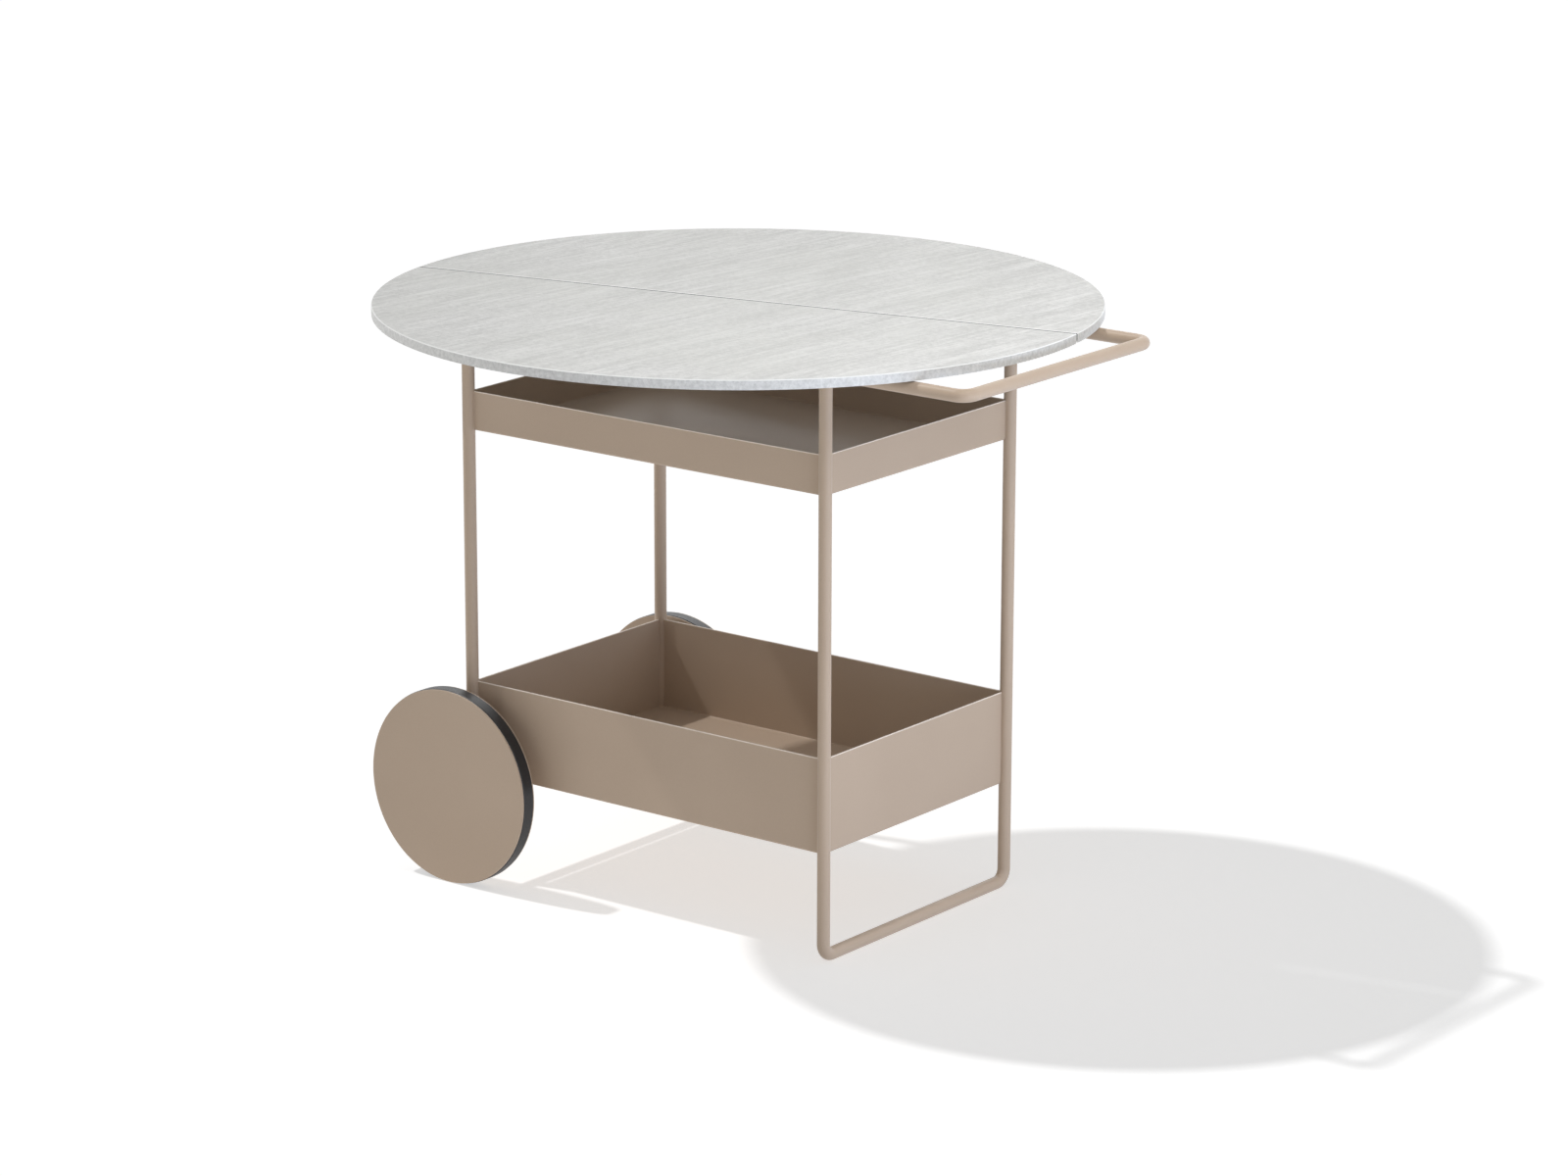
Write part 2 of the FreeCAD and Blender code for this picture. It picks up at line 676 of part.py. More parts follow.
WHEELS = [("wheel_front", minus(WHEEL_Y), ALONG_MINUS_Y), ("wheel_back", WHEEL_Y, ALONG_Y)]


def turned_ring(label, points):
    """A body turned from a closed profile of (radius, height) points."""
    body = new_body(label)
    profile = new_sketch(body, "profile", "XZ_Plane")
    draw_path(profile, [(point,) for point in points], closed=True)
    revolve(body, profile)
    return body


def make_tyre(label):
    body = turned_ring(label, [
        (CORE_R, CORE_INNER), (cell("wheel_radius"), CORE_INNER),
        (cell("wheel_radius"), CORE_OUTER), (CORE_R, CORE_OUTER)])
    tread = value(cell("wheel_radius"))
    dress_edges(body, "Fillet", "shoulder", cell("tyre_round"),
                lambda edge: is_round(edge) and edge.Curve.Radius > tread - SLACK)
    return body


def make_core(label):
    """The disc that carries the tyre, with its hub, lightening holes and holes for the covers' pegs."""
    rim = f"({CORE_R} - {cell('seat_gap')})"
    counterbore = cell("counterbore_radius")
    body = turned_ring(label, [
        (HUB_BORE_R, CORE_INNER), (rim, CORE_INNER), (rim, CORE_OUTER), (counterbore, CORE_OUTER),
        (counterbore, HUB_SHELF), (HUB_BORE_R, HUB_SHELF)])
    lightening = new_sketch(body, "lightening", "XY_Plane", CORE_OUTER)
    draw_circle(lightening, (cell("pocket_circle"), "0"), cell("pocket_radius"))
    hole = pocket(body, lightening, cell("tyre_width"))
    polar_copies(body, [hole], cell("pocket_count"))
    peg_holes = new_sketch(body, "peg_holes", "XY_Plane", CORE_OUTER)
    draw_circle(peg_holes, ("0", cell("peg_circle")), cell("peg_radius + seat_gap"))
    peg_hole = pocket(body, peg_holes, cell("tyre_width"))
    polar_copies(body, [peg_hole], cell("peg_count"))
    return body


def make_cover(label, outer):
    """A flush disc on the outside of the wheel, or one with a hole for the axle on the inside."""
    low, high = (CORE_OUTER, WHEEL_WIDTH) if outer else ("0", CORE_INNER)
    inner_edge = "0" if outer else cell("cover_opening")
    body = turned_ring(label, [(inner_edge, low), (COVER_R, low), (COVER_R, high), (inner_edge, high)])
    face = value(high if outer else low)
    rim = value(COVER_R)
    dress_edges(body, "Fillet", "rim", cell("cover_round"),
                lambda edge: flat_at(edge, face) and edge.BoundBox.XMax > rim - SLACK)
    # the pegs stand on the side that faces the core
    pegs = new_sketch(body, "pegs", "XY_Plane", low if outer else high)
    draw_circle(pegs, ("0", cell("peg_circle")), cell("peg_radius"))
    peg = pad(body, pegs, cell("peg_length"), reverse=outer)
    polar_copies(body, [peg], cell("peg_count"))
    return body


def make_wheel_bushes(label):
    """Two flanged bushes in the hub, flange outwards on both sides."""
    body = new_body(label, several=True)
    bore = cell("axle_diameter / 2 + running_gap")
    sleeve = cell("axle_diameter / 2 + running_gap + bush_wall")
    flange = cell("axle_diameter / 2 + running_gap + bush_wall + bush_flange")
    flange_inner = f"({CORE_INNER} - {cell('bush_flange_thickness')})"
    flange_outer = f"({HUB_SHELF} + {cell('bush_flange_thickness')})"
    length = cell("( hub_floor - face_gap ) / 2")
    for name, seat, flange_face, tip in (
            ("inner", CORE_INNER, flange_inner, f"({CORE_INNER} + {length})"),
            ("outer", HUB_SHELF, flange_outer, f"({HUB_SHELF} - {length})")):
        profile = new_sketch(body, name, "XZ_Plane")
        points = [(bore, tip), (sleeve, tip), (sleeve, seat), (flange, seat),
                  (flange, flange_face), (bore, flange_face)]
        draw_path(profile, [(point,) for point in points], closed=True)
        revolve(body, profile)
    return body


def make_wheels():
    for wheel, side, rotation in WHEELS:
        pieces = [
            make_tyre(f"{wheel}_tyre"),
            make_core(f"{wheel}_core"),
            make_cover(f"{wheel}_cover_outer", outer=True),
            make_cover(f"{wheel}_cover_inner", outer=False),
            make_wheel_bushes(f"{wheel}_bushes"),
        ]
        for piece in pieces:
            place_on_axle(piece, side, rotation)


# ---------------------------------------------------------------------------------------------
# Swivel, modelled down from the underside of the leaves
# ---------------------------------------------------------------------------------------------

def make_swivel_bridge():
    """A channel between the rails that carries the pivot, coped to the rails at both ends."""
    body = new_body("swivel_bridge")
    half = cell("bridge_width / 2")
    inner = cell("bridge_width / 2 - bridge_sheet")
    low = f"({BRIDGE_TOP} - {cell('bridge_depth')})"
    end = f"({LEG_Y} - {TUBE_R} + {cell('cope_lap')})"
    section = new_sketch(body, "section", "XZ_Plane", minus(end))
    points = [(minus(half), low), (minus(half), BRIDGE_TOP), (half, BRIDGE_TOP), (half, low),
              (inner, low), (inner, BRIDGE_UNDER), (minus(inner), BRIDGE_UNDER), (minus(inner), low)]
    draw_path(section, [(point,) for point in points], closed=True)
    pad(body, section, f"({end} * 2)")

    top = value(BRIDGE_TOP)
    under = value(BRIDGE_UNDER)
    channel_length = value(f"({end} * 2)")
    dress_edges(body, "Fillet", "fold", cell("bridge_bend"),
                lambda edge: flat_at(edge, top) and edge.Length > channel_length - SLACK)
    dress_edges(body, "Fillet", "inner_fold", cell("bridge_bend - bridge_sheet"),
                lambda edge: flat_at(edge, under) and edge.Length > channel_length - SLACK)

    rail_height = f"({RAIL_Z} - {LEAF_UNDERSIDE})"
    saddle = new_sketch(body, "saddle", "YZ_Plane")
    for side_y in (minus(LEG_Y), LEG_Y):
        draw_circle(saddle, (side_y, rail_height), WELD_R)
    cut_through(body, saddle)

    bore = new_sketch(body, "bore", "XY_Plane", BRIDGE_TOP)
    draw_circle(bore, ("0", "0"), PIVOT_HOLE_R)
    pocket(body, bore, cell("bridge_sheet"))
    place(body, z=LEAF_UNDERSIDE)


def make_pivot_bush():
    bore = cell("pivot_diameter / 2 + running_gap")
    sleeve = cell("pivot_diameter / 2 + running_gap + bush_wall")
    flange = cell("pivot_diameter / 2 + running_gap + bush_wall + bush_flange")
    body = turned_ring("pivot_bush", [
        (bore, BUSH_UNDER), (flange, BUSH_UNDER), (flange, BRIDGE_UNDER), (sleeve, BRIDGE_UNDER),
        (sleeve, BRIDGE_TOP), (bore, BRIDGE_TOP)])
    place(body, z=LEAF_UNDERSIDE)


def make_glide_ring():
    body = turned_ring("glide_ring", [
        (cell("glide_ring_bore"), BRIDGE_TOP), (cell("glide_ring_radius"), BRIDGE_TOP),
        (cell("glide_ring_radius"), RING_TOP), (cell("glide_ring_bore"), RING_TOP)])
    place(body, z=LEAF_UNDERSIDE)


def make_rail_glides():
    """Four buttons on the rails that steady the leaves, each with a stem through the tube's wall."""
    body = new_body("rail_glides", several=True)
    rail_height = f"({RAIL_Z} - {LEAF_UNDERSIDE})"
    rail_top = f"({rail_height} + {TUBE_R})"
    inner_wall = f"({rail_height} + {BORE_R})"
    first_x = minus(cell("glide_spacing / 2"))
    button = new_sketch(body, "button", "XY_Plane", inner_wall)
    draw_circle(button, (first_x, minus(LEG_Y)), cell("glide_radius"))
    pad(body, button, f"({rail_top} + {cell('glide_height')} - {inner_wall})")
    saddle = new_sketch(body, "saddle", "YZ_Plane")
    draw_circle(saddle, (minus(LEG_Y), rail_height), f"({TUBE_R} + {cell('seat_gap')})")
    cut_through(body, saddle)
    stem = new_sketch(body, "stem", "XY_Plane", inner_wall)
    draw_circle(stem, (first_x, minus(LEG_Y)), cell("glide_stem_radius"))
    pad(body, stem, f"({rail_top} + {cell('glide_height')} - {inner_wall})")
    row_copies(body, [], "X_Axis", cell("glide_spacing"), "2")
    row_copies(body, [], "Y_Axis", cell("leg_span_wide"), "2")
    place(body, z=LEAF_UNDERSIDE)


def make_swivel_plate():
    """The plate under the leaves, welded to the pivot stud."""
    body = new_body("swivel_plate")
    half = cell("swivel_half_width")
    back = cell("swivel_reach")
    heel = minus(cell("swivel_heel"))
    low = minus(cell("swivel_sheet"))
    thickness = value(cell("swivel_sheet"))
    outline = new_sketch(body, "outline", "XY_Plane", low)
    draw_rectangle(outline, minus(half), half, heel, back)
    pad(body, outline, cell("swivel_sheet"))
    dress_edges(body, "Fillet", "corners", cell("swivel_corner"),
                lambda edge: edge.BoundBox.ZLength > thickness - SLACK)

    # the step under the front leaf, which swings past here
    step = new_sketch(body, "step", "XY_Plane")
    overlap = cell("swivel_half_width + fit_gap")
    draw_rectangle(step, minus(overlap), overlap, minus(cell("swivel_heel + fit_gap")), SEAM_EDGE)
    pocket(body, step, cell("swivel_relief"))

    holes = new_sketch(body, "holes", "XY_Plane", low)
    for centre in plate_screw_places():
        draw_circle(holes, centre, cell("plate_screw_diameter / 2 + pilot_gap"))
    pocket(body, holes, cell("swivel_sheet"), reverse=True)
    underside = value(low)
    dress_edges(body, "Chamfer", "countersinks", cell("( plate_screw_head - plate_screw_diameter ) / 2"),
                lambda edge: flat_at(edge, underside) and is_round(edge))

    stud = new_sketch(body, "stud", "XZ_Plane")
    thread = cell("pivot_thread_diameter / 2")
    tail = f"({SHOULDER} - {cell('pivot_tail')})"
    points = [("0", low), (PIVOT_R, low), (PIVOT_R, SHOULDER),
              (thread, SHOULDER), (thread, tail), ("0", tail)]
    draw_path(stud, [(point,) for point in points], closed=True)
    revolve(body, stud)
    place(body, z=LEAF_UNDERSIDE, turn=cell("seam_angle"))


def plate_screw_places():
    """Six screws in the back leaf, in two rows of three."""
    rows = (cell("plate_screw_near"), cell("plate_screw_near + plate_screw_row"))
    sides = (minus(cell("plate_screw_side")), "0", cell("plate_screw_side"))
    return [(side, row) for row in rows for side in sides]


def make_pivot_fasteners():
    """The washer against the stud's shoulder and the locknut under it."""
    top = SHOULDER
    washer_under = f"({top} - {cell('washer_thickness')})"
    bore = cell("pivot_thread_diameter / 2 + seat_gap")
    radius = cell("pivot_washer_radius")
    washer = turned_ring("pivot_washer", [
        (bore, washer_under), (radius, washer_under), (radius, top), (bore, top)])
    place(washer, z=LEAF_UNDERSIDE, turn=cell("seam_angle"))

    nut = new_body("pivot_nut")
    flats = new_sketch(nut, "flats", "XY_Plane", washer_under)
    corner = f"({cell('nut_flats / 2')} / cos(30))"
    draw_hexagon(flats, ("0", "0"), corner)
    pad(nut, flats, cell("nut_height"), reverse=True)
    hole = new_sketch(nut, "hole", "XY_Plane", washer_under)
    draw_circle(hole, ("0", "0"), bore)
    pocket(nut, hole, cell("nut_height"))
    place(nut, z=LEAF_UNDERSIDE, turn=cell("seam_angle"))


# ---------------------------------------------------------------------------------------------
# Countersunk screws, driven up from below
# ---------------------------------------------------------------------------------------------

def make_screw_group(label, head_face, sizes, places, rows, angle):
    """Countersunk screws with hexagon sockets. Each place gets one, and rows repeat all of them."""
    body = new_body(label, several=True)
    shank = cell(f"{sizes}_diameter / 2")
    head = cell(f"{sizes}_head / 2")
    length = cell(f"{sizes}_length")
    cone_top = f"({head_face} + {head} - {shank})"
    tip = f"({head_face} + {length})"
    for number, (x, y) in enumerate(places):
        top = new_sketch(body, f"head{number}", "XY_Plane", head_face)
        draw_circle(top, (x, y), head)
        feature = body.newObject("PartDesign::Pad", f"{label}_cone{number}")
        feature.Profile = top
        feature.setExpression("Length", f"({cone_top} - {head_face})")
        feature.TaperAngle = -45
        stem = new_sketch(body, f"stem{number}", "XY_Plane", head_face)
        draw_circle(stem, (x, y), shank)
        pad(body, stem, f"({tip} - {head_face})")
        socket = new_sketch(body, f"socket{number}", "XY_Plane", head_face)
        draw_hexagon(socket, (x, y), f"({head} * {cell('socket_share')} / cos(30))")
        pocket(body, socket, f"({head} - {shank})", reverse=True)
    for role, pitch, count in rows:
        row_copies(body, [], role, pitch, count)
    place(body, z=LEAF_UNDERSIDE, turn=angle)


# ---------------------------------------------------------------------------------------------
# Leaves and their hinges, modelled up from the underside, along and across the seam
# ---------------------------------------------------------------------------------------------

SEAM_ANGLE = cell("seam_angle")
LEAVES = [("back", SEAM_ANGLE), ("front", cell("seam_angle + 180"))]


def bracket_screw_places():
    x = FIRST_HINGE
    side = cell("bracket_screw_side")
    near = cell("bracket_screw_near")
    return [(f"({x} - {side})", near), (f"({x} + {side})", near)]


def hinge_rows():
    return [("X_Axis", cell("hinge_pitch"), cell("hinge_count"))]


def make_leaf(side, angle):
    """A half-moon leaf with bevelled edges and the recesses for its hinge brackets."""
    body = new_body(f"leaf_{side}")
    thickness = cell("leaf_thickness")
    radius = cell("top_radius")
    end_x = f"sqrt({radius} * {radius} - {SEAM_EDGE} * {SEAM_EDGE})"
    outline = new_sketch(body, "outline", "XY_Plane")
    draw_path(outline, [
        ((minus(end_x), SEAM_EDGE),),
        ((end_x, SEAM_EDGE), ("0", "0"), 1),
    ], closed=True)
    pad(body, outline, thickness)
    top = value(thickness)
    dress_edges(body, "Chamfer", "heel", cell("seam_relief"),
                lambda edge: flat_at(edge, 0) and is_straight(edge))
    dress_edges(body, "Chamfer", "seam_bevel", cell("seam_bevel"),
                lambda edge: flat_at(edge, top) and is_straight(edge))
    dress_edges(body, "Chamfer", "rim_bevel", cell("leaf_bevel"),
                lambda edge: flat_at(edge, top) and is_round(edge))

    x = FIRST_HINGE
    half = cell("bracket_half_width + fit_gap")
    plate = new_sketch(body, "plate_recess", "XY_Plane")
    draw_rectangle(plate, f"({x} - {half})", f"({x} + {half})", "0", cell("bracket_reach + fit_gap"))
    plate_cut = pocket(body, plate, cell("bracket_sheet"), reverse=True)
    ear = f"({EAR_OUTER} + {cell('fit_gap')})"
    ears = new_sketch(body, "ear_recess", "XY_Plane")
    draw_rectangle(ears, f"({x} - {ear})", f"({x} + {ear})", "0", cell("ear_reach + fit_gap"))
    ear_cut = pocket(body, ears, f"({PIN_Z} + {cell('knuckle_radius + fit_gap')})", reverse=True)
    pilots = new_sketch(body, "bracket_pilots", "XY_Plane")
    for centre in bracket_screw_places():
        draw_circle(pilots, centre, cell("bracket_screw_diameter / 2 + pilot_gap"))
    pilot_cut = pocket(body, pilots, cell("bracket_screw_length + face_gap"), reverse=True)
    row_copies(body, [plate_cut, ear_cut, pilot_cut], *hinge_rows()[0])

    if side == "back":
        holes = new_sketch(body, "plate_pilots", "XY_Plane")
        for centre in plate_screw_places():
            draw_circle(holes, centre, cell("plate_screw_diameter / 2 + pilot_gap"))
        pocket(body, holes, cell("plate_screw_length - swivel_sheet + face_gap"), reverse=True)
    place(body, z=LEAF_UNDERSIDE, turn=angle)


def make_brackets(side, angle):
    """Plates let into the underside, each with two ears for a pin and a slot for its link."""
    body = new_body(f"hinge_brackets_{side}", several=True)
    x = FIRST_HINGE
    half = cell("bracket_half_width")
    edge_y = cell("seam_gap / 2 + fit_gap")
    plate = new_sketch(body, "plate", "XY_Plane")
    draw_rectangle(plate, f"({x} - {half})", f"({x} + {half})", edge_y, cell("bracket_reach"))
    pad(body, plate, cell("bracket_sheet"))
    heel = value(edge_y)
    dress_edges(body, "Chamfer", "heel", cell("seam_relief - fit_gap"),
                lambda edge: flat_at(edge, 0) and edge.BoundBox.YMax < heel + SLACK)

    pin_y = cell("pin_offset")
    knuckle = cell("knuckle_radius")
    sheet_top = cell("bracket_sheet")
    ears = new_sketch(body, "ears", "YZ_Plane", f"({x} - {EAR_OUTER})")
    front = f"({pin_y} - {knuckle})"
    back = f"({pin_y} + {knuckle})"
    draw_path(ears, [
        ((front, "0"),),
        ((cell("ear_reach"), "0"),),
        ((cell("ear_reach"), sheet_top),),
        ((back, PIN_Z), (pin_y, PIN_Z), 1),
        ((front, PIN_Z),),
    ], closed=True)
    pad(body, ears, f"({EAR_OUTER} * 2)")

    slot = new_sketch(body, "slot", "XY_Plane")
    draw_rectangle(slot, f"({x} - {EAR_INNER})", f"({x} + {EAR_INNER})", "0", SLOT_END)
    pocket(body, slot, cell("leaf_thickness"), reverse=True)
    pin_hole = new_sketch(body, "pin_hole", "YZ_Plane", f"({x} - {EAR_OUTER})")
    draw_circle(pin_hole, (pin_y, PIN_Z), f"({PIN_R} + {cell('seat_gap')})")
    pocket(body, pin_hole, f"({EAR_OUTER} * 2)", reverse=True)

    holes = new_sketch(body, "screw_holes", "XY_Plane")
    for centre in bracket_screw_places():
        draw_circle(holes, centre, cell("bracket_screw_diameter / 2 + pilot_gap"))
    pocket(body, holes, sheet_top, reverse=True)
    dress_edges(body, "Chamfer", "countersinks",
                cell("( bracket_screw_head - bracket_screw_diameter ) / 2"),
                lambda edge: flat_at(edge, 0) and is_round(edge))
    row_copies(body, [], *hinge_rows()[0])
    place(body, z=LEAF_UNDERSIDE, turn=angle)


def make_pins(side, angle):
    body = new_body(f"hinge_pins_{side}", several=True)
    section = new_sketch(body, "section", "YZ_Plane", f"({FIRST_HINGE} - {EAR_OUTER})")
    draw_circle(section, (cell("pin_offset"), PIN_Z), PIN_R)
    pad(body, section, f"({EAR_OUTER} * 2)")
    row_copies(body, [], *hinge_rows()[0])
    place(body, z=LEAF_UNDERSIDE, turn=angle)


def make_links():
    """U-shaped links. Each hangs from two pins, passes under the seam and swings out of it to fold."""
    body = new_body("hinge_links", several=True)
    pin_y = cell("pin_offset")
    knuckle = cell("knuckle_radius")
    outer = f"({pin_y} + {knuckle})"
    inner = f"({pin_y} - {knuckle})"
    bar_top = f"({PIN_Z} - {cell('link_throat')})"
    bar_under = f"({bar_top} - {cell('link_bar')})"
    profile = new_sketch(body, "profile", "YZ_Plane", f"({FIRST_HINGE} - {cell('link_width / 2')})")
    draw_path(profile, [
        ((minus(outer), bar_under),),
        ((outer, bar_under),),
        ((outer, PIN_Z), (pin_y, PIN_Z), 1),
        ((inner, PIN_Z),),
        ((inner, bar_top),),
        ((minus(inner), bar_top),),
        ((minus(inner), PIN_Z), (minus(pin_y), PIN_Z), 1),
        ((minus(outer), PIN_Z),),
    ], closed=True)
    pad(body, profile, cell("link_width"))
    holes = new_sketch(body, "holes", "YZ_Plane", f"({FIRST_HINGE} - {cell('link_width / 2')})")
    for side_y in (minus(pin_y), pin_y):
        draw_circle(holes, (side_y, PIN_Z), f"({PIN_R} + {cell('running_gap')})")
    pocket(body, holes, cell("link_width"), reverse=True)
    row_copies(body, [], *hinge_rows()[0])
    place(body, z=LEAF_UNDERSIDE, turn=SEAM_ANGLE)


# ---------------------------------------------------------------------------------------------
# The table
# ---------------------------------------------------------------------------------------------

make_frame_tube()
make_sled_tube()
make_tray("upper_tray", cell("top_height - leaf_thickness - upper_tray_headroom - upper_tray_depth"),
          cell("upper_tray_depth"))
make_tray("lower_tray", cell("lower_tray_bottom"), cell("lower_tray_depth"))
make_axle_tube()
make_axle_rod()
make_axle_ends()
make_wheels()
make_swivel_bridge()
make_pivot_bush()
make_glide_ring()
make_rail_glides()
make_swivel_plate()
make_pivot_fasteners()
make_screw_group("swivel_plate_screws", minus(cell("swivel_sheet")), "plate_screw",
                 plate_screw_places(), [], SEAM_ANGLE)
for leaf_side, leaf_angle in LEAVES:
    make_leaf(leaf_side, leaf_angle)
    make_brackets(leaf_side, leaf_angle)
    make_pins(leaf_side, leaf_angle)
    make_screw_group(f"bracket_screws_{leaf_side}", "0", "bracket_screw",
                     bracket_screw_places(), hinge_rows(), leaf_angle)
make_links()
doc.recompute()

# ---------------------------------------------------------------------------------------------
# Checks and export
# ---------------------------------------------------------------------------------------------

for item in doc.Objects:
    if {"Invalid", "Error"} & set(item.State):
        raise ValueError(f"{item.Name} is {item.State}")

os.makedirs("parts", exist_ok=True)
for piece in doc.findObjects("PartDesign::Body"):
    shape = piece.Shape
    if shape.isNull() or not shape.isValid() or not shape.Solids:
        raise ValueError(f"{piece.Label} has no sound shape")
    shape.exportStep(f"parts/{piece.Label}.step")
    box = shape.BoundBox
    corners = f"{box.XMin:.1f} {box.YMin:.1f} {box.ZMin:.1f} to {box.XMax:.1f} {box.YMax:.1f} {box.ZMax:.1f}"
    print(f"{piece.Label}: {len(shape.Solids)} solids, {shape.Volume / 1000:.2f} cm3, {corners}")
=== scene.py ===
# %% [markdown]
# # A room service table, dressed and lit
#
# This notebook takes the engineered table, which is already exact in shape and size, and gives it the
# looks of the real one: a fine-textured taupe powder coat, a pale streaked laminate top, rubber tyres and
# plated hinge parts. It then builds a plain white studio round it, with one key light as far off as the sun.
#
# The first cell loads the engineered pieces. They are fixed: this notebook may paint them and add small
# pieces to them, but never moves or reshapes them.

import json
import math

import bmesh
import bpy
from mathutils import Matrix, Vector


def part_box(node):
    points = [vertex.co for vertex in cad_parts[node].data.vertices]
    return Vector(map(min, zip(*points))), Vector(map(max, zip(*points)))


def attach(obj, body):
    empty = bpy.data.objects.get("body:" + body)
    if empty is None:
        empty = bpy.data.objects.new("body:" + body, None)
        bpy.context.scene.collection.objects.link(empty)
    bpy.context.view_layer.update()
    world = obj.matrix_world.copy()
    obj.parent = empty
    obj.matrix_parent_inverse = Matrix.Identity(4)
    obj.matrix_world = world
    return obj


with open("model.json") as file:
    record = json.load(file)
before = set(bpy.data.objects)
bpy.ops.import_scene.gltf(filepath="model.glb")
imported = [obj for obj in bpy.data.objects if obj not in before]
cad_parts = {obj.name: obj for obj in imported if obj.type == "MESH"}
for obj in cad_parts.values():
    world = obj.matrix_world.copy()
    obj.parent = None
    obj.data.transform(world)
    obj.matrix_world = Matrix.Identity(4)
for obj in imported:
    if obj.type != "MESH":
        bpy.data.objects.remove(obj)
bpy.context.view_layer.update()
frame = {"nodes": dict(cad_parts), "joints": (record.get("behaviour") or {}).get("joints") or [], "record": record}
nodes = frame["nodes"]

# %% [markdown]
# ## Where things are
#
# Nearly every later place comes from the pieces themselves. A piece's box gives its lowest and highest
# corner, so a tube's axis is the middle of its box and a tray's wall is the side of its box. Reading places
# this way, and not typing them in, keeps the dressing on the table when the table changes.

# %% Read places from the pieces
def middle(node):
    low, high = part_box(node)
    return (low + high) / 2


sled_low, sled_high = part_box("sled_tube")
tube_radius = (sled_high.x - sled_low.x) / 2
leg_y = sled_high.y - tube_radius
sled_x = middle("sled_tube").x
frame_centre_x = middle("upper_tray").x
wheel_leg_x = 2 * frame_centre_x - sled_x
rail_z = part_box("frame_tube")[1].z - tube_radius
axle = middle("axle_tube")
axle_tube_radius = (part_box("axle_tube")[1].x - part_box("axle_tube")[0].x) / 2
leaf_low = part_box("leaf_back")[0].z
print(f"tubes {2000 * tube_radius:.1f} mm, legs at x {wheel_leg_x:.4f} and {sled_x:.4f}, y +-{leg_y:.4f}")

# %% [markdown]
# ## Writing a material in a few words
#
# A procedural material is a graph of nodes. Wiring nodes by hand takes three lines for each one, so a small
# helper makes a node, sets its sockets and links its inputs in one call. An input may be a plain value or
# the output of another node.

# %% Helpers for material graphs
class Graph:
    """The node graph of a material or of the world. add() makes a node and wires its inputs."""

    def __init__(self, owner, ending="OutputMaterial"):
        owner.use_nodes = True
        self.owner = owner
        self.nodes = owner.node_tree.nodes
        self.links = owner.node_tree.links
        self.nodes.clear()
        self.output = self.nodes.new(f"ShaderNode{ending}")

    def add(self, kind, inputs=None, **settings):
        node = self.nodes.new(f"ShaderNode{kind}")
        for name, setting in settings.items():
            setattr(node, name, setting)
        for name, source in (inputs or {}).items():
            socket = node.inputs[name]
            if isinstance(source, bpy.types.NodeSocket):
                self.links.new(source, socket)
            else:
                socket.default_value = source
        return node

    def places(self):
        """Positions on the piece, in metres, which travel with it when it moves."""
        return self.add("TexCoord").outputs["Object"]

    def stretched(self, longer, turn=0.0):
        """Places that change more slowly along some axes, so that a pattern on them is drawn out."""
        inputs = {"Vector": self.places(), "Scale": longer, "Rotation": (0, 0, turn)}
        return self.add("Mapping", inputs, vector_type="TEXTURE").outputs[0]

    def noise(self, vector, scale, detail=3, roughness=0.5, distortion=0):
        inputs = {"Vector": vector, "Scale": scale, "Detail": detail, "Roughness": roughness,
                  "Distortion": distortion}
        return self.add("TexNoise", inputs).outputs["Fac"]

    def maths(self, operation, first, second=0.0, clamp=False):
        return self.add("Math", {0: first, 1: second}, operation=operation, use_clamp=clamp).outputs[0]

    def span(self, value, low, high, new_low=0.0, new_high=1.0):
        """Moves the range low to high onto the range new_low to new_high."""
        inputs = {"Value": value, "From Min": low, "From Max": high, "To Min": new_low, "To Max": new_high}
        return self.add("MapRange", inputs).outputs["Result"]

    def blend(self, share, first, second):
        """A colour that goes from first to second as share goes from 0 to 1."""
        node = self.add("Mix", data_type="RGBA")
        for socket, source in zip((node.inputs[0], node.inputs[6], node.inputs[7]), (share, first, second)):
            if isinstance(source, bpy.types.NodeSocket):
                self.links.new(source, socket)
            else:
                socket.default_value = source
        return node.outputs[2]

    def bump(self, height, distance, strength):
        inputs = {"Height": height, "Distance": distance, "Strength": strength}
        return self.add("Bump", inputs).outputs["Normal"]

    def surface(self, **inputs):
        """Ends the graph in one Principled shader."""
        named = {name.replace("_", " "): source for name, source in inputs.items()}
        return self.close(self.add("BsdfPrincipled", named))

    def choose(self, share, first, second):
        """A shader that goes from first to second as share goes from 0 to 1."""
        node = self.add("MixShader", {"Fac": share})
        self.links.new(first.outputs[0], node.inputs[1])
        self.links.new(second.outputs[0], node.inputs[2])
        return node

    def close(self, shader):
        self.links.new(shader.outputs[0], self.output.inputs["Surface"])
        return self.owner


def new_material(name):
    return Graph(bpy.data.materials.new(name))


def colour(red, green, blue):
    """A screen colour, 0 to 255, as the linear colour that a shader wants."""
    def linear(level):
        share = level / 255
        return share / 12.92 if share <= 0.04045 else ((share + 0.055) / 1.055) ** 2.4
    return (linear(red), linear(green), linear(blue), 1.0)
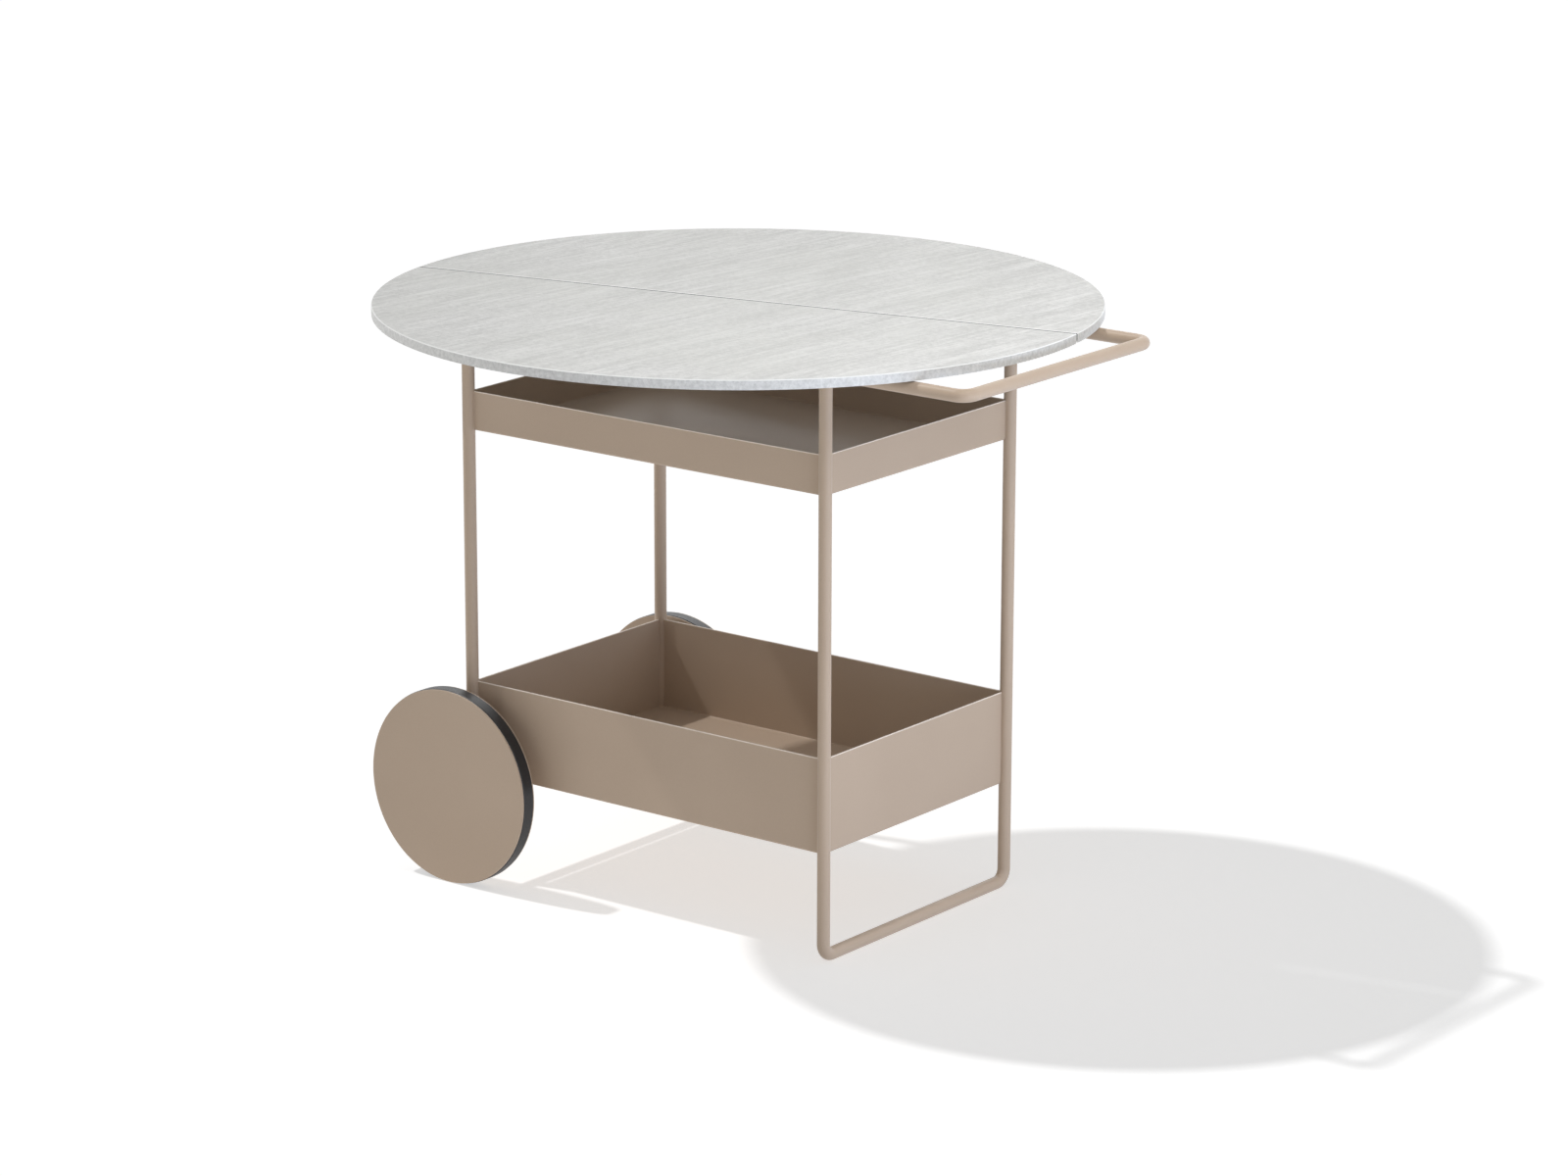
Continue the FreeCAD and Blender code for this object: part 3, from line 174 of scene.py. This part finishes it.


# %% [markdown]
# ## Powder coat
#
# The tubes, the trays and the wheel covers carry one taupe powder coat. Powder melts into a skin with a
# very fine orange peel, so the gloss is satin and the colour is almost even. The peel is a bump of about
# a millimetre's pitch. A perfectly even colour would look like plastic, so a slow noise moves the colour by
# a few percent and a fine one moves the roughness. The fine texture also scatters light that grazes it,
# which a little sheen gives.
#
# The upper edge of each tray's sheet catches the light as a thin bright line, and that highlight is painted into
# the coat's colour as a thin pale line. The trays take a coat of their own for that, with the height of their edge
# in it.

# %% Powder coat
TAUPE_DARK = colour(177, 157, 137)
TAUPE_LIGHT = colour(185, 165, 145)
# painted highlight: the pale colour along each tray's top edge stands in for the light the edge catches
TAUPE_PAINTED_HIGHLIGHT = colour(232, 220, 206)
HIGHLIGHT_DEPTH = 0.0006


def powder_coat(name, highlight_height=None):
    graph = new_material(name)
    places = graph.places()
    cloud = graph.noise(places, 6, detail=2)
    grain = graph.noise(places, 900, detail=2)
    peel = graph.noise(places, 700, detail=3, roughness=0.55)
    shade = graph.maths("ADD", graph.span(cloud, 0.3, 0.7, 0, 0.6), graph.span(grain, 0.3, 0.7, 0, 0.4))
    paint = graph.blend(shade, TAUPE_DARK, TAUPE_LIGHT)
    # painted highlight: a thin pale line just below the tray's top edge
    if highlight_height is not None:
        height = graph.add("SeparateXYZ", {"Vector": places}).outputs["Z"]
        painted_highlight_line = graph.span(height, highlight_height - 2 * HIGHLIGHT_DEPTH, highlight_height - HIGHLIGHT_DEPTH)
        paint = graph.blend(painted_highlight_line, paint, TAUPE_PAINTED_HIGHLIGHT)
    return graph.surface(
        Base_Color=paint,
        Roughness=graph.span(grain, 0.3, 0.7, 0.38, 0.48),
        IOR=1.5,
        Specular_IOR_Level=0.22,
        Sheen_Weight=0.3,
        Sheen_Roughness=0.4,
        Normal=graph.bump(peel, 0.00012, 0.35),
    )


powder = powder_coat("powder_coat")
highlighted_tray_coats = {}
for tray in ("upper_tray", "lower_tray"):
    highlighted_tray_coats[tray] = powder_coat(f"{tray}_coat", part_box(tray)[1].z)
print("powder painted_highlight_coat made, with", len(highlighted_tray_coats), "tray coats")

# %% [markdown]
# ## Streaked laminate
#
# The leaves are faced with a laminate that is printed like a pale sawn stone: soft cloudy bands that run
# across the table, fine white lines along them, and a grain over everything. A noise becomes a streak when
# its places are drawn out along one axis, so three noises of different pitch are drawn out along the streaks
# and added. The streaks keep their own direction, a few degrees off square to the frame.

# %% Laminate face
STREAK_TURN = math.radians(-5)
STONE_DARK = colour(173, 173, 171)
STONE_LIGHT = colour(210, 210, 208)
STONE_LINE = colour(222, 222, 221)
STONE_WARM = colour(192, 193, 187)


def streaked_face(graph):
    """The printed face's colour, and the grain that its roughness and relief follow."""
    broad = graph.noise(graph.stretched((1, 8, 1), STREAK_TURN), 24, detail=3, roughness=0.55, distortion=0.3)
    narrow = graph.noise(graph.stretched((1, 16, 1), STREAK_TURN), 105, detail=3, roughness=0.6)
    hair = graph.noise(graph.stretched((1, 14, 1), STREAK_TURN), 230, detail=3, roughness=0.6)
    grain = graph.noise(graph.places(), 170, detail=5, roughness=0.8)
    patch = graph.noise(graph.places(), 4.5, detail=2)
    bands = graph.maths("ADD", graph.span(broad, 0.3, 0.7, 0, 0.13), graph.span(narrow, 0.3, 0.7, 0, 0.18))
    fine = graph.maths("ADD", graph.span(hair, 0.3, 0.7, 0, 0.2), graph.span(grain, 0.3, 0.7, 0, 0.49))
    pattern = graph.maths("ADD", bands, fine, clamp=True)
    grey = graph.blend(graph.span(pattern, 0.3, 0.7), STONE_DARK, STONE_LIGHT)
    lined = graph.blend(graph.span(narrow, 0.58, 0.74, 0, 0.45), grey, STONE_LINE)
    return graph.blend(graph.span(patch, 0.35, 0.65, 0, 0.3), lined, STONE_WARM), grain


# %% [markdown]
# ## The leaves' edges
#
# The edges look different from the face. The rim round the top carries an even, softly mottled band. The bevels
# catch the light, and that highlight is painted into their colour as a paler line; a painted highlight also runs
# along the back leaf's edge by the seam. The cuts that meet there are painted dark for the shade inside the slit,
# and a painted shade line on the front leaf's edge widens it, so the seam reads as a thin dark line with a bright
# one behind it.
#
# A spot is told apart by the slant of its own surface and by how far it lies from the seam. The upright share
# of its slant is 1 on a face, 0.7 on a bevel and 0 on a cut side. Both are read in the leaf's own space, so
# they stay right when a leaf is folded over.

# %% Laminate
seam_axis = Vector(next(joint["axis"] for joint in frame["joints"] if joint["name"] == "leaf_fold"))
seam_across = (-seam_axis.y, seam_axis.x, 0)
top_centre = Vector((frame_centre_x, 0, 0))
back_side = math.copysign(1, (middle("leaf_back") - top_centre).dot(Vector(seam_across)))
RIM_DARK = colour(187, 187, 185)
RIM_LIGHT = colour(222, 222, 220)
# painted highlight: the bevels' pale colour stands in for the light they catch
PAINTED_BEVEL_HIGHLIGHT = colour(238, 238, 237)
# painted highlight: a pale line on the back leaf just behind the seam
PAINTED_SEAM_HIGHLIGHT = colour(250, 250, 250)
# painted shade: a dark line on the front leaf just before the seam
PAINTED_SEAM_SHADE = colour(36, 36, 35)
# painted shade: the cut sides at the seam are painted dark for the shade inside the slit
PAINTED_SLIT_SHADE = colour(34, 33, 32)


def along(graph, vector, direction):
    """How far a vector reaches in a direction."""
    return graph.add("VectorMath", {0: vector, 1: direction}, operation="DOT_PRODUCT").outputs["Value"]


def stripe(graph, distance, middle_line, half_width, strength, fade=0.0003):
    """A line at a distance from the seam, full within its half width and gone just beyond."""
    off_line = graph.maths("ABSOLUTE", graph.maths("SUBTRACT", distance, middle_line))
    return graph.span(off_line, half_width + fade, half_width, 0, strength)


def laminate():
    graph = new_material("streaked_laminate")
    face, grain = streaked_face(graph)
    mottle = graph.noise(graph.places(), 200, detail=4, roughness=0.7)
    band = graph.blend(graph.span(mottle, 0.3, 0.7), RIM_DARK, RIM_LIGHT)
    slant = graph.add("TexCoord").outputs["Normal"]
    upright = graph.maths("ABSOLUTE", along(graph, slant, (0, 0, 1)))
    off_centre = graph.add("VectorMath", {0: graph.places(), 1: top_centre}, operation="SUBTRACT").outputs[0]
    off_seam = along(graph, off_centre, seam_across)
    near_seam = graph.span(graph.maths("ABSOLUTE", off_seam), 0.003, 0.002)
    faces_seam = graph.span(graph.maths("ABSOLUTE", along(graph, slant, seam_across)), 0.85, 0.95)
    # painted shade: the cut sides that face the seam take the dark slit colour
    sides = graph.blend(graph.maths("MULTIPLY", near_seam, faces_seam), band, PAINTED_SLIT_SHADE)
    behind = graph.maths("MULTIPLY", off_seam, back_side)
    # painted highlight: a pale stripe on the back leaf's side of the seam
    seam_highlight = stripe(graph, behind, 0.0026, 0.0009, 0.9)
    # painted shade: a dark stripe on the front leaf's side of the seam
    dark = stripe(graph, behind, -0.0018, 0.0011, 0.95)
    seam_light_and_shade = graph.blend(dark, graph.blend(seam_highlight, face, PAINTED_SEAM_HIGHLIGHT), PAINTED_SEAM_SHADE)
    edges_light_and_shade = graph.blend(graph.span(upright, 0.45, 0.3), seam_light_and_shade, sides)
    # painted highlight: the bevels are painted pale where they would catch the light
    bevel_highlight = graph.span(graph.maths("ABSOLUTE", graph.maths("SUBTRACT", upright, 0.7)), 0.25, 0.15)
    return graph.surface(
        Base_Color=graph.blend(bevel_highlight, edges_light_and_shade, PAINTED_BEVEL_HIGHLIGHT),
        Roughness=graph.span(grain, 0.3, 0.7, 0.48, 0.6),
        IOR=1.47,
        Normal=graph.bump(grain, 0.0002, 0.3),
    )


leaf_finish = laminate()
print("laminate made")

# %% [markdown]
# ## Rubber, plastics and plated steel
#
# The tyres are smooth black rubber. Their tread shows faint mould lines round the wheel, which a wave
# across the width gives. The cores, bushes and glides are moulded plastic, which differs from rubber
# mostly in its finer, more even skin. Steel parts are metallic: turned and ground ones show fine lines,
# and plated sheet shows a cloudy spangle.

# %% Small finishes
def rubber():
    graph = new_material("tyre_rubber")
    skin = graph.noise(graph.places(), 450, detail=3)
    lines = graph.add("TexWave", {"Vector": graph.places(), "Scale": 160, "Distortion": 0.4, "Detail": 1},
                      bands_direction="Y").outputs["Fac"]
    dust = graph.noise(graph.places(), 18, detail=3)
    relief = graph.maths("ADD", graph.maths("MULTIPLY", skin, 0.6), graph.maths("MULTIPLY", lines, 0.4))
    return graph.surface(
        Base_Color=graph.blend(graph.span(dust, 0.35, 0.7), colour(20, 21, 24), colour(31, 32, 35)),
        Roughness=graph.span(skin, 0.3, 0.7, 0.38, 0.5),
        IOR=1.52,
        Normal=graph.bump(relief, 0.00015, 0.4),
    )


def moulded(name, dark, light, rough):
    graph = new_material(name)
    flow = graph.noise(graph.places(), 40, detail=2)
    skin = graph.noise(graph.places(), 1200, detail=2)
    return graph.surface(
        Base_Color=graph.blend(graph.span(flow, 0.3, 0.7), dark, light),
        Roughness=graph.span(skin, 0.3, 0.7, rough - 0.06, rough + 0.06),
        IOR=1.48,
        Normal=graph.bump(skin, 0.00008, 0.3),
    )


def plated(name, dark, light, rough):
    graph = new_material(name)
    spangle = graph.noise(graph.places(), 90, detail=4, roughness=0.6)
    lines = graph.noise(graph.stretched((12, 1, 1)), 1500, detail=2)
    return graph.surface(
        Base_Color=graph.blend(graph.span(spangle, 0.3, 0.7), dark, light),
        Metallic=1.0,
        Roughness=graph.span(lines, 0.3, 0.7, rough - 0.07, rough + 0.07),
        Normal=graph.bump(lines, 0.00004, 0.3),
    )


finishes = {
    "powder_coat": powder,
    "leaf_laminate": leaf_finish,
    "tyre_rubber": rubber(),
    "core_plastic": moulded("core_plastic", colour(52, 52, 54), colour(60, 60, 62), 0.55),
    "bearing_plastic": moulded("bearing_plastic", colour(222, 219, 208), colour(232, 229, 219), 0.42),
    "bright_steel": plated("bright_steel", colour(178, 178, 180), colour(200, 200, 201), 0.22),
    "hinge_steel": plated("hinge_steel", colour(166, 168, 172), colour(190, 191, 194), 0.34),
    "screw_steel": plated("screw_steel", colour(158, 160, 164), colour(182, 183, 186), 0.30),
}

# %% [markdown]
# ## Giving each piece its finish
#
# The record that came with the pieces says which finish each of them has. One loop assigns them all, so no
# piece is left in a plain colour.

# %% Assign finishes
for entry in frame["record"]["subparts"]:
    mesh = nodes[entry["node"]].data
    mesh.materials.clear()
    mesh.materials.append(highlighted_tray_coats.get(entry["node"], finishes[entry["material_slot"]]))

# %% [markdown]
# ## Weld beads
#
# The trays, the tubes and the channel that carries the pivot are welded, and the coat runs over the beads in
# soft, slightly rippled fillets. A bead is a thin tube swept along the line where two pieces meet, with its
# radius rising and falling as the welder's hand did. A sweep needs a frame that doesn't spin along the line:
# here each ring is turned from the last by the smallest rotation that follows the tangent.

# %% Sweep helper
def swept_bead(name, lines, radius, ripple=0.12, pitch=0.0022, sides=8):
    """One mesh of soft tubes, one along each line of points. An open tube thins towards its ends."""
    shape = bmesh.new()
    for line in lines:
        points = [Vector(p) for p in line]
        closed = (points[0] - points[-1]).length < 1e-6
        tangents = []
        for number, point in enumerate(points):
            before = points[max(number - 1, 0)]
            after = points[min(number + 1, len(points) - 1)]
            tangents.append((after - before).normalized())
        side = tangents[0].orthogonal().normalized()
        travelled = 0.0
        rings = []
        for number, point in enumerate(points):
            if number:
                travelled += (point - points[number - 1]).length
                side = tangents[number - 1].rotation_difference(tangents[number]) @ side
            other = tangents[number].cross(side)
            from_end = min(number, len(points) - 1 - number)
            taper = 1.0 if closed else min(1.0, 0.35 + 0.35 * from_end)
            width = radius * taper * (1 + ripple * math.sin(2 * math.pi * travelled / pitch))
            ring = []
            for corner in range(sides):
                angle = 2 * math.pi * corner / sides
                outward = math.cos(angle) * side + math.sin(angle) * other
                ring.append(shape.verts.new(point + width * outward))
            rings.append(ring)
        for ring, following in zip(rings, rings[1:]):
            for corner in range(sides):
                after = (corner + 1) % sides
                shape.faces.new((ring[corner], ring[after], following[after], following[corner]))
        if not closed:
            shape.faces.new(list(reversed(rings[0])))
            shape.faces.new(rings[-1])
    bmesh.ops.recalc_face_normals(shape, faces=shape.faces)
    mesh = bpy.data.meshes.new(name)
    shape.to_mesh(mesh)
    shape.free()
    mesh.materials.append(powder)
    for face in mesh.polygons:
        face.use_smooth = True
    bead = bpy.data.objects.new(name, mesh)
    bpy.context.scene.collection.objects.link(bead)
    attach(bead, "frame")
    return bead


def straight(start, end, step=0.0008):
    """Points along a straight line, close enough together to carry the ripple."""
    start = Vector(start)
    end = Vector(end)
    count = max(4, round((end - start).length / step))
    return [start.lerp(end, number / count) for number in range(count + 1)]


# %% [markdown]
# The tray corners are cut to the legs, so each tray wall ends in an upright line on a leg tube. The line
# lies where the wall's plane meets the tube's circle, one on the outside of the wall and one on its inside.

# %% Beads between trays and legs
TRAY_SHEET = 0.0015
TRAY_FOLD = 0.003
TRAY_BEAD = 0.0007
BELOW_EDGE = 0.0005


def corner_lines(low, high):
    """Upright lines where one tray's walls meet the four legs."""
    lines = []
    foot = low.z + TRAY_FOLD
    head = high.z - BELOW_EDGE
    for leg_x, toward_x in ((wheel_leg_x, 1), (sled_x, -1)):
        for leg_side, toward_y in ((-leg_y, 1), (leg_y, -1)):
            wall_y = low.y if leg_side < 0 else high.y
            wall_x = low.x if toward_x > 0 else high.x
            for depth in (0, TRAY_SHEET):
                off_y = abs(wall_y + toward_y * depth - leg_side)
                x = leg_x + toward_x * math.sqrt(tube_radius ** 2 - off_y ** 2)
                y = wall_y + toward_y * depth
                lines.append(straight((x, y, foot), (x, y, head)))
                off_x = abs(wall_x + toward_x * depth - leg_x)
                y = leg_side + toward_y * math.sqrt(tube_radius ** 2 - off_x ** 2)
                x = wall_x + toward_x * depth
                lines.append(straight((x, y, foot), (x, y, head)))
    return lines


for tray in ("upper_tray", "lower_tray"):
    bead = swept_bead(f"{tray}_welds", corner_lines(*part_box(tray)), TRAY_BEAD)
    print(bead.name, len(bead.data.polygons), "faces")

# %% [markdown]
# Where a leg's head fits under a rail, the two tubes cross at a right angle and the bead follows a saddle.
# For an angle round the leg, the rail's circle gives the height of the saddle there. The wheel legs meet
# the cross tube in the same way, upside down and a little off its axis.

# %% Beads between tubes
TUBE_BEAD = 0.0011
HEAD_CLEARANCE = 0.0002
NEAR_TANGENT = 0.985


def saddle_line(leg_x, side_y, tube_x, tube_z, radius, along_x, below, steps=96):
    """Where an upright leg meets a level tube, as a run of points."""
    run = []
    for number in range(steps + 1):
        angle = 2 * math.pi * number / steps
        x = leg_x + tube_radius * math.cos(angle)
        y = side_y + tube_radius * math.sin(angle)
        off = (y - side_y) if along_x else (x - tube_x)
        if abs(off) < radius * NEAR_TANGENT:
            rise = math.sqrt(radius ** 2 - off ** 2)
            run.append((x, y, tube_z - rise if below else tube_z + rise))
    return run


leg_heads = []
leg_feet = []
for side in (-leg_y, leg_y):
    leg_heads.append(saddle_line(sled_x, side, sled_x, rail_z, tube_radius + HEAD_CLEARANCE, True, True))
    leg_feet.append(saddle_line(wheel_leg_x, side, axle.x, axle.z, axle_tube_radius, False, False))
heads = swept_bead("leg_head_welds", leg_heads, TUBE_BEAD)
feet = swept_bead("leg_foot_welds", leg_feet, TUBE_BEAD)
print(heads.name, len(heads.data.polygons), feet.name, len(feet.data.polygons))

# %% [markdown]
# The channel that carries the pivot ends against both rails. Its web and its two flanges are each welded
# with a short straight bead on the underside.

# %% Beads at the channel
CHANNEL_SHEET = 0.003
CHANNEL_BEAD = 0.0012
WEB_INSET = 0.006
FLANGE_START = 0.012

bridge_low, bridge_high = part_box("swivel_bridge")
web_z = bridge_high.z - CHANNEL_SHEET
off_z = web_z - rail_z
reach = leg_y - math.sqrt(tube_radius ** 2 - off_z ** 2)
channel_lines = []
for side in (-1, 1):
    y = side * reach
    web_ends = (bridge_low.x + WEB_INSET, bridge_high.x - WEB_INSET)
    channel_lines.append(straight((web_ends[0], y, web_z), (web_ends[1], y, web_z)))
    inner_y = side * (leg_y - tube_radius)
    for x in (bridge_low.x + CHANNEL_SHEET, bridge_high.x - CHANNEL_SHEET):
        channel_lines.append(straight((x, inner_y, bridge_low.z + FLANGE_START), (x, inner_y, rail_z)))
channel = swept_bead("channel_welds", channel_lines, CHANNEL_BEAD)
print(channel.name, len(channel.data.polygons), "faces")

# %% [markdown]
# ## Floor and backdrop
#
# The picture has a white ground that keeps only the shadows. A real white floor under this light would be
# grey, and more light would burn the pale top. So the floor has two faces. What the camera sees is part
# glow and part matt white, which adds up to white where the light falls and to a pale grey in the shadow.
# The face that lights the table from below is a plain pale floor with a weaker glow, like a studio floor
# that white walls stand round.

# %% Floor
def seen_share(graph):
    """1 for the rays that make the picture: straight from the camera, mirrored, or through glass."""
    ray = graph.add("LightPath").outputs
    bounced = graph.maths("MAXIMUM", ray["Is Glossy Ray"], ray["Is Transmission Ray"])
    return graph.maths("MAXIMUM", ray["Is Camera Ray"], bounced)


def glowing(graph, colour_level, strength):
    """Matt paint of a plain grey level that also gives off a little white light."""
    paint = graph.add("BsdfDiffuse", {"Color": (colour_level, colour_level, colour_level, 1)})
    light = graph.add("Emission", {"Strength": strength})
    both = graph.add("AddShader")
    graph.links.new(paint.outputs[0], both.inputs[0])
    graph.links.new(light.outputs[0], both.inputs[1])
    return both


def studio_floor(seen, plain, half=14.0):
    mesh = bpy.data.meshes.new("studio_floor")
    corners = [(-half, -half, 0), (half, -half, 0), (half, half, 0), (-half, half, 0)]
    mesh.from_pydata(corners, [], [(0, 1, 2, 3)])
    floor = bpy.data.objects.new("studio_floor", mesh)
    bpy.context.scene.collection.objects.link(floor)
    graph = new_material("studio_floor")
    picture = glowing(graph, *seen)
    ground = glowing(graph, *plain)
    mesh.materials.append(graph.close(graph.choose(seen_share(graph), ground, picture)))
    return floor


floor = studio_floor(seen=(0.72, 0.56), plain=(0.85, 0.36))
print(floor.name, "laid")

# %% [markdown]
# ## Light
#
# The round shadow on the floor is as large as the top itself, so the key light is as good as the sun: its
# rays are parallel. The shadow's place gives its direction, and the softness of its edge gives its angle.
#
# A plain white room gives the even fill. Four soft panels shape it: the one overhead lifts the tops of the
# tubes, the low card to the right lifts the faces that look that way, and the two others keep the left and
# the back from going flat. The low card is a little cooler than the room, as daylight is. The panels are
# set to leave the floor alone, so the floor shows only the sun's shadow. The last panel shows only as a
# reflection, which gives the rims and the tubes their fine bright lines.

# %% World and lamps
def white_room(fill):
    """A world that is white where it is seen, and gives an even light of the strength fill."""
    world = bpy.data.worlds.new("white_room")
    bpy.context.scene.world = world
    graph = Graph(world, "OutputWorld")
    light = graph.add("Background", {"Strength": fill})
    white = graph.add("Background", {"Color": (1, 1, 1, 1), "Strength": 1.0})
    graph.close(graph.choose(seen_share(graph), light, white))


def hang(name, lamp, place, target):
    """Puts a lamp at a place and points it at a target."""
    thing = bpy.data.objects.new(name, lamp)
    bpy.context.scene.collection.objects.link(thing)
    thing.location = place
    thing.rotation_euler = (Vector(target) - thing.location).to_track_quat("-Z", "Y").to_euler()
    thing.visible_camera = False
    return thing


def sun(towards, strength, softness):
    lamp = bpy.data.lights.new("key_sun", "SUN")
    lamp.energy = strength
    lamp.angle = math.radians(softness)
    return hang("key_sun", lamp, Vector(towards) * 4, (0, 0, 0))


COOL = (0.82, 0.96, 1.24)
PANEL_AIM = (0.3, 0, 0.5)


def panel(name, place, size, power, tint=(1, 1, 1)):
    """A soft panel that faces the handle's half of the table and leaves the floor as it is."""
    lamp = bpy.data.lights.new(name, "AREA")
    lamp.shape = "RECTANGLE"
    lamp.size, lamp.size_y = size
    lamp.energy = power
    lamp.color = tint
    soft = hang(name, lamp, place, PANEL_AIM)
    soft.light_linking.receiver_collection = not_the_floor
    return soft


not_the_floor = bpy.data.collections.new("not_the_floor")
not_the_floor.objects.link(floor)
not_the_floor.collection_objects[0].light_linking.link_state = "EXCLUDE"

SHADOW_SHIFT = Vector((0.5124, 0.0982, 0))
shadow_centre = Vector((frame_centre_x, 0, 0)) + SHADOW_SHIFT
key_direction = (Vector((frame_centre_x, 0, leaf_low)) - shadow_centre).normalized()
white_room(0.32)
sun(key_direction, 1.5, 1.9)
panel("overhead_panel", (1.3, -0.2, 1.9), (1.2, 1.2), 15)
panel("side_card", (1.6, -0.1, 0.3), (1.8, 0.5), 10, COOL)
panel("left_panel", (-1.2, -3.4, 1.5), (2.6, 1.8), 10)
panel("back_panel", (0.9, 1.5, 1.5), (1.2, 1.2), 3)
highlight = panel("highlight_panel", (-1.4, 3.1, 2.3), (3.0, 1.8), 24)
highlight.visible_diffuse = False
print("key light from", [round(c, 3) for c in key_direction])

# %% [markdown]
# ## Camera
#
# The camera stands where the photograph was taken from: six metres off, with a long lens, looking down by
# fifteen degrees. Its place, turn and focal length were worked out from the straight edges and the circles
# of the table.

# %% Camera
CAMERA_PLACE = (3.8185, -4.8669, 2.0546)
CAMERA_TURN = math.radians(37.731)
CAMERA_DIP = math.radians(15.100)
CAMERA_ROLL = math.radians(0.123)
LENS_MM = 118.2

lens = bpy.data.cameras.new("camera")
lens.lens = LENS_MM
lens.sensor_width = 36.0
lens.clip_end = 60.0
camera = bpy.data.objects.new("camera", lens)
bpy.context.scene.collection.objects.link(camera)
level = Matrix.Rotation(CAMERA_TURN, 4, "Z") @ Matrix.Rotation(math.pi / 2 - CAMERA_DIP, 4, "X")
camera.matrix_world = Matrix.Translation(CAMERA_PLACE) @ level @ Matrix.Rotation(CAMERA_ROLL, 4, "Z")
bpy.context.scene.camera = camera
bpy.context.scene.view_settings.view_transform = "Standard"
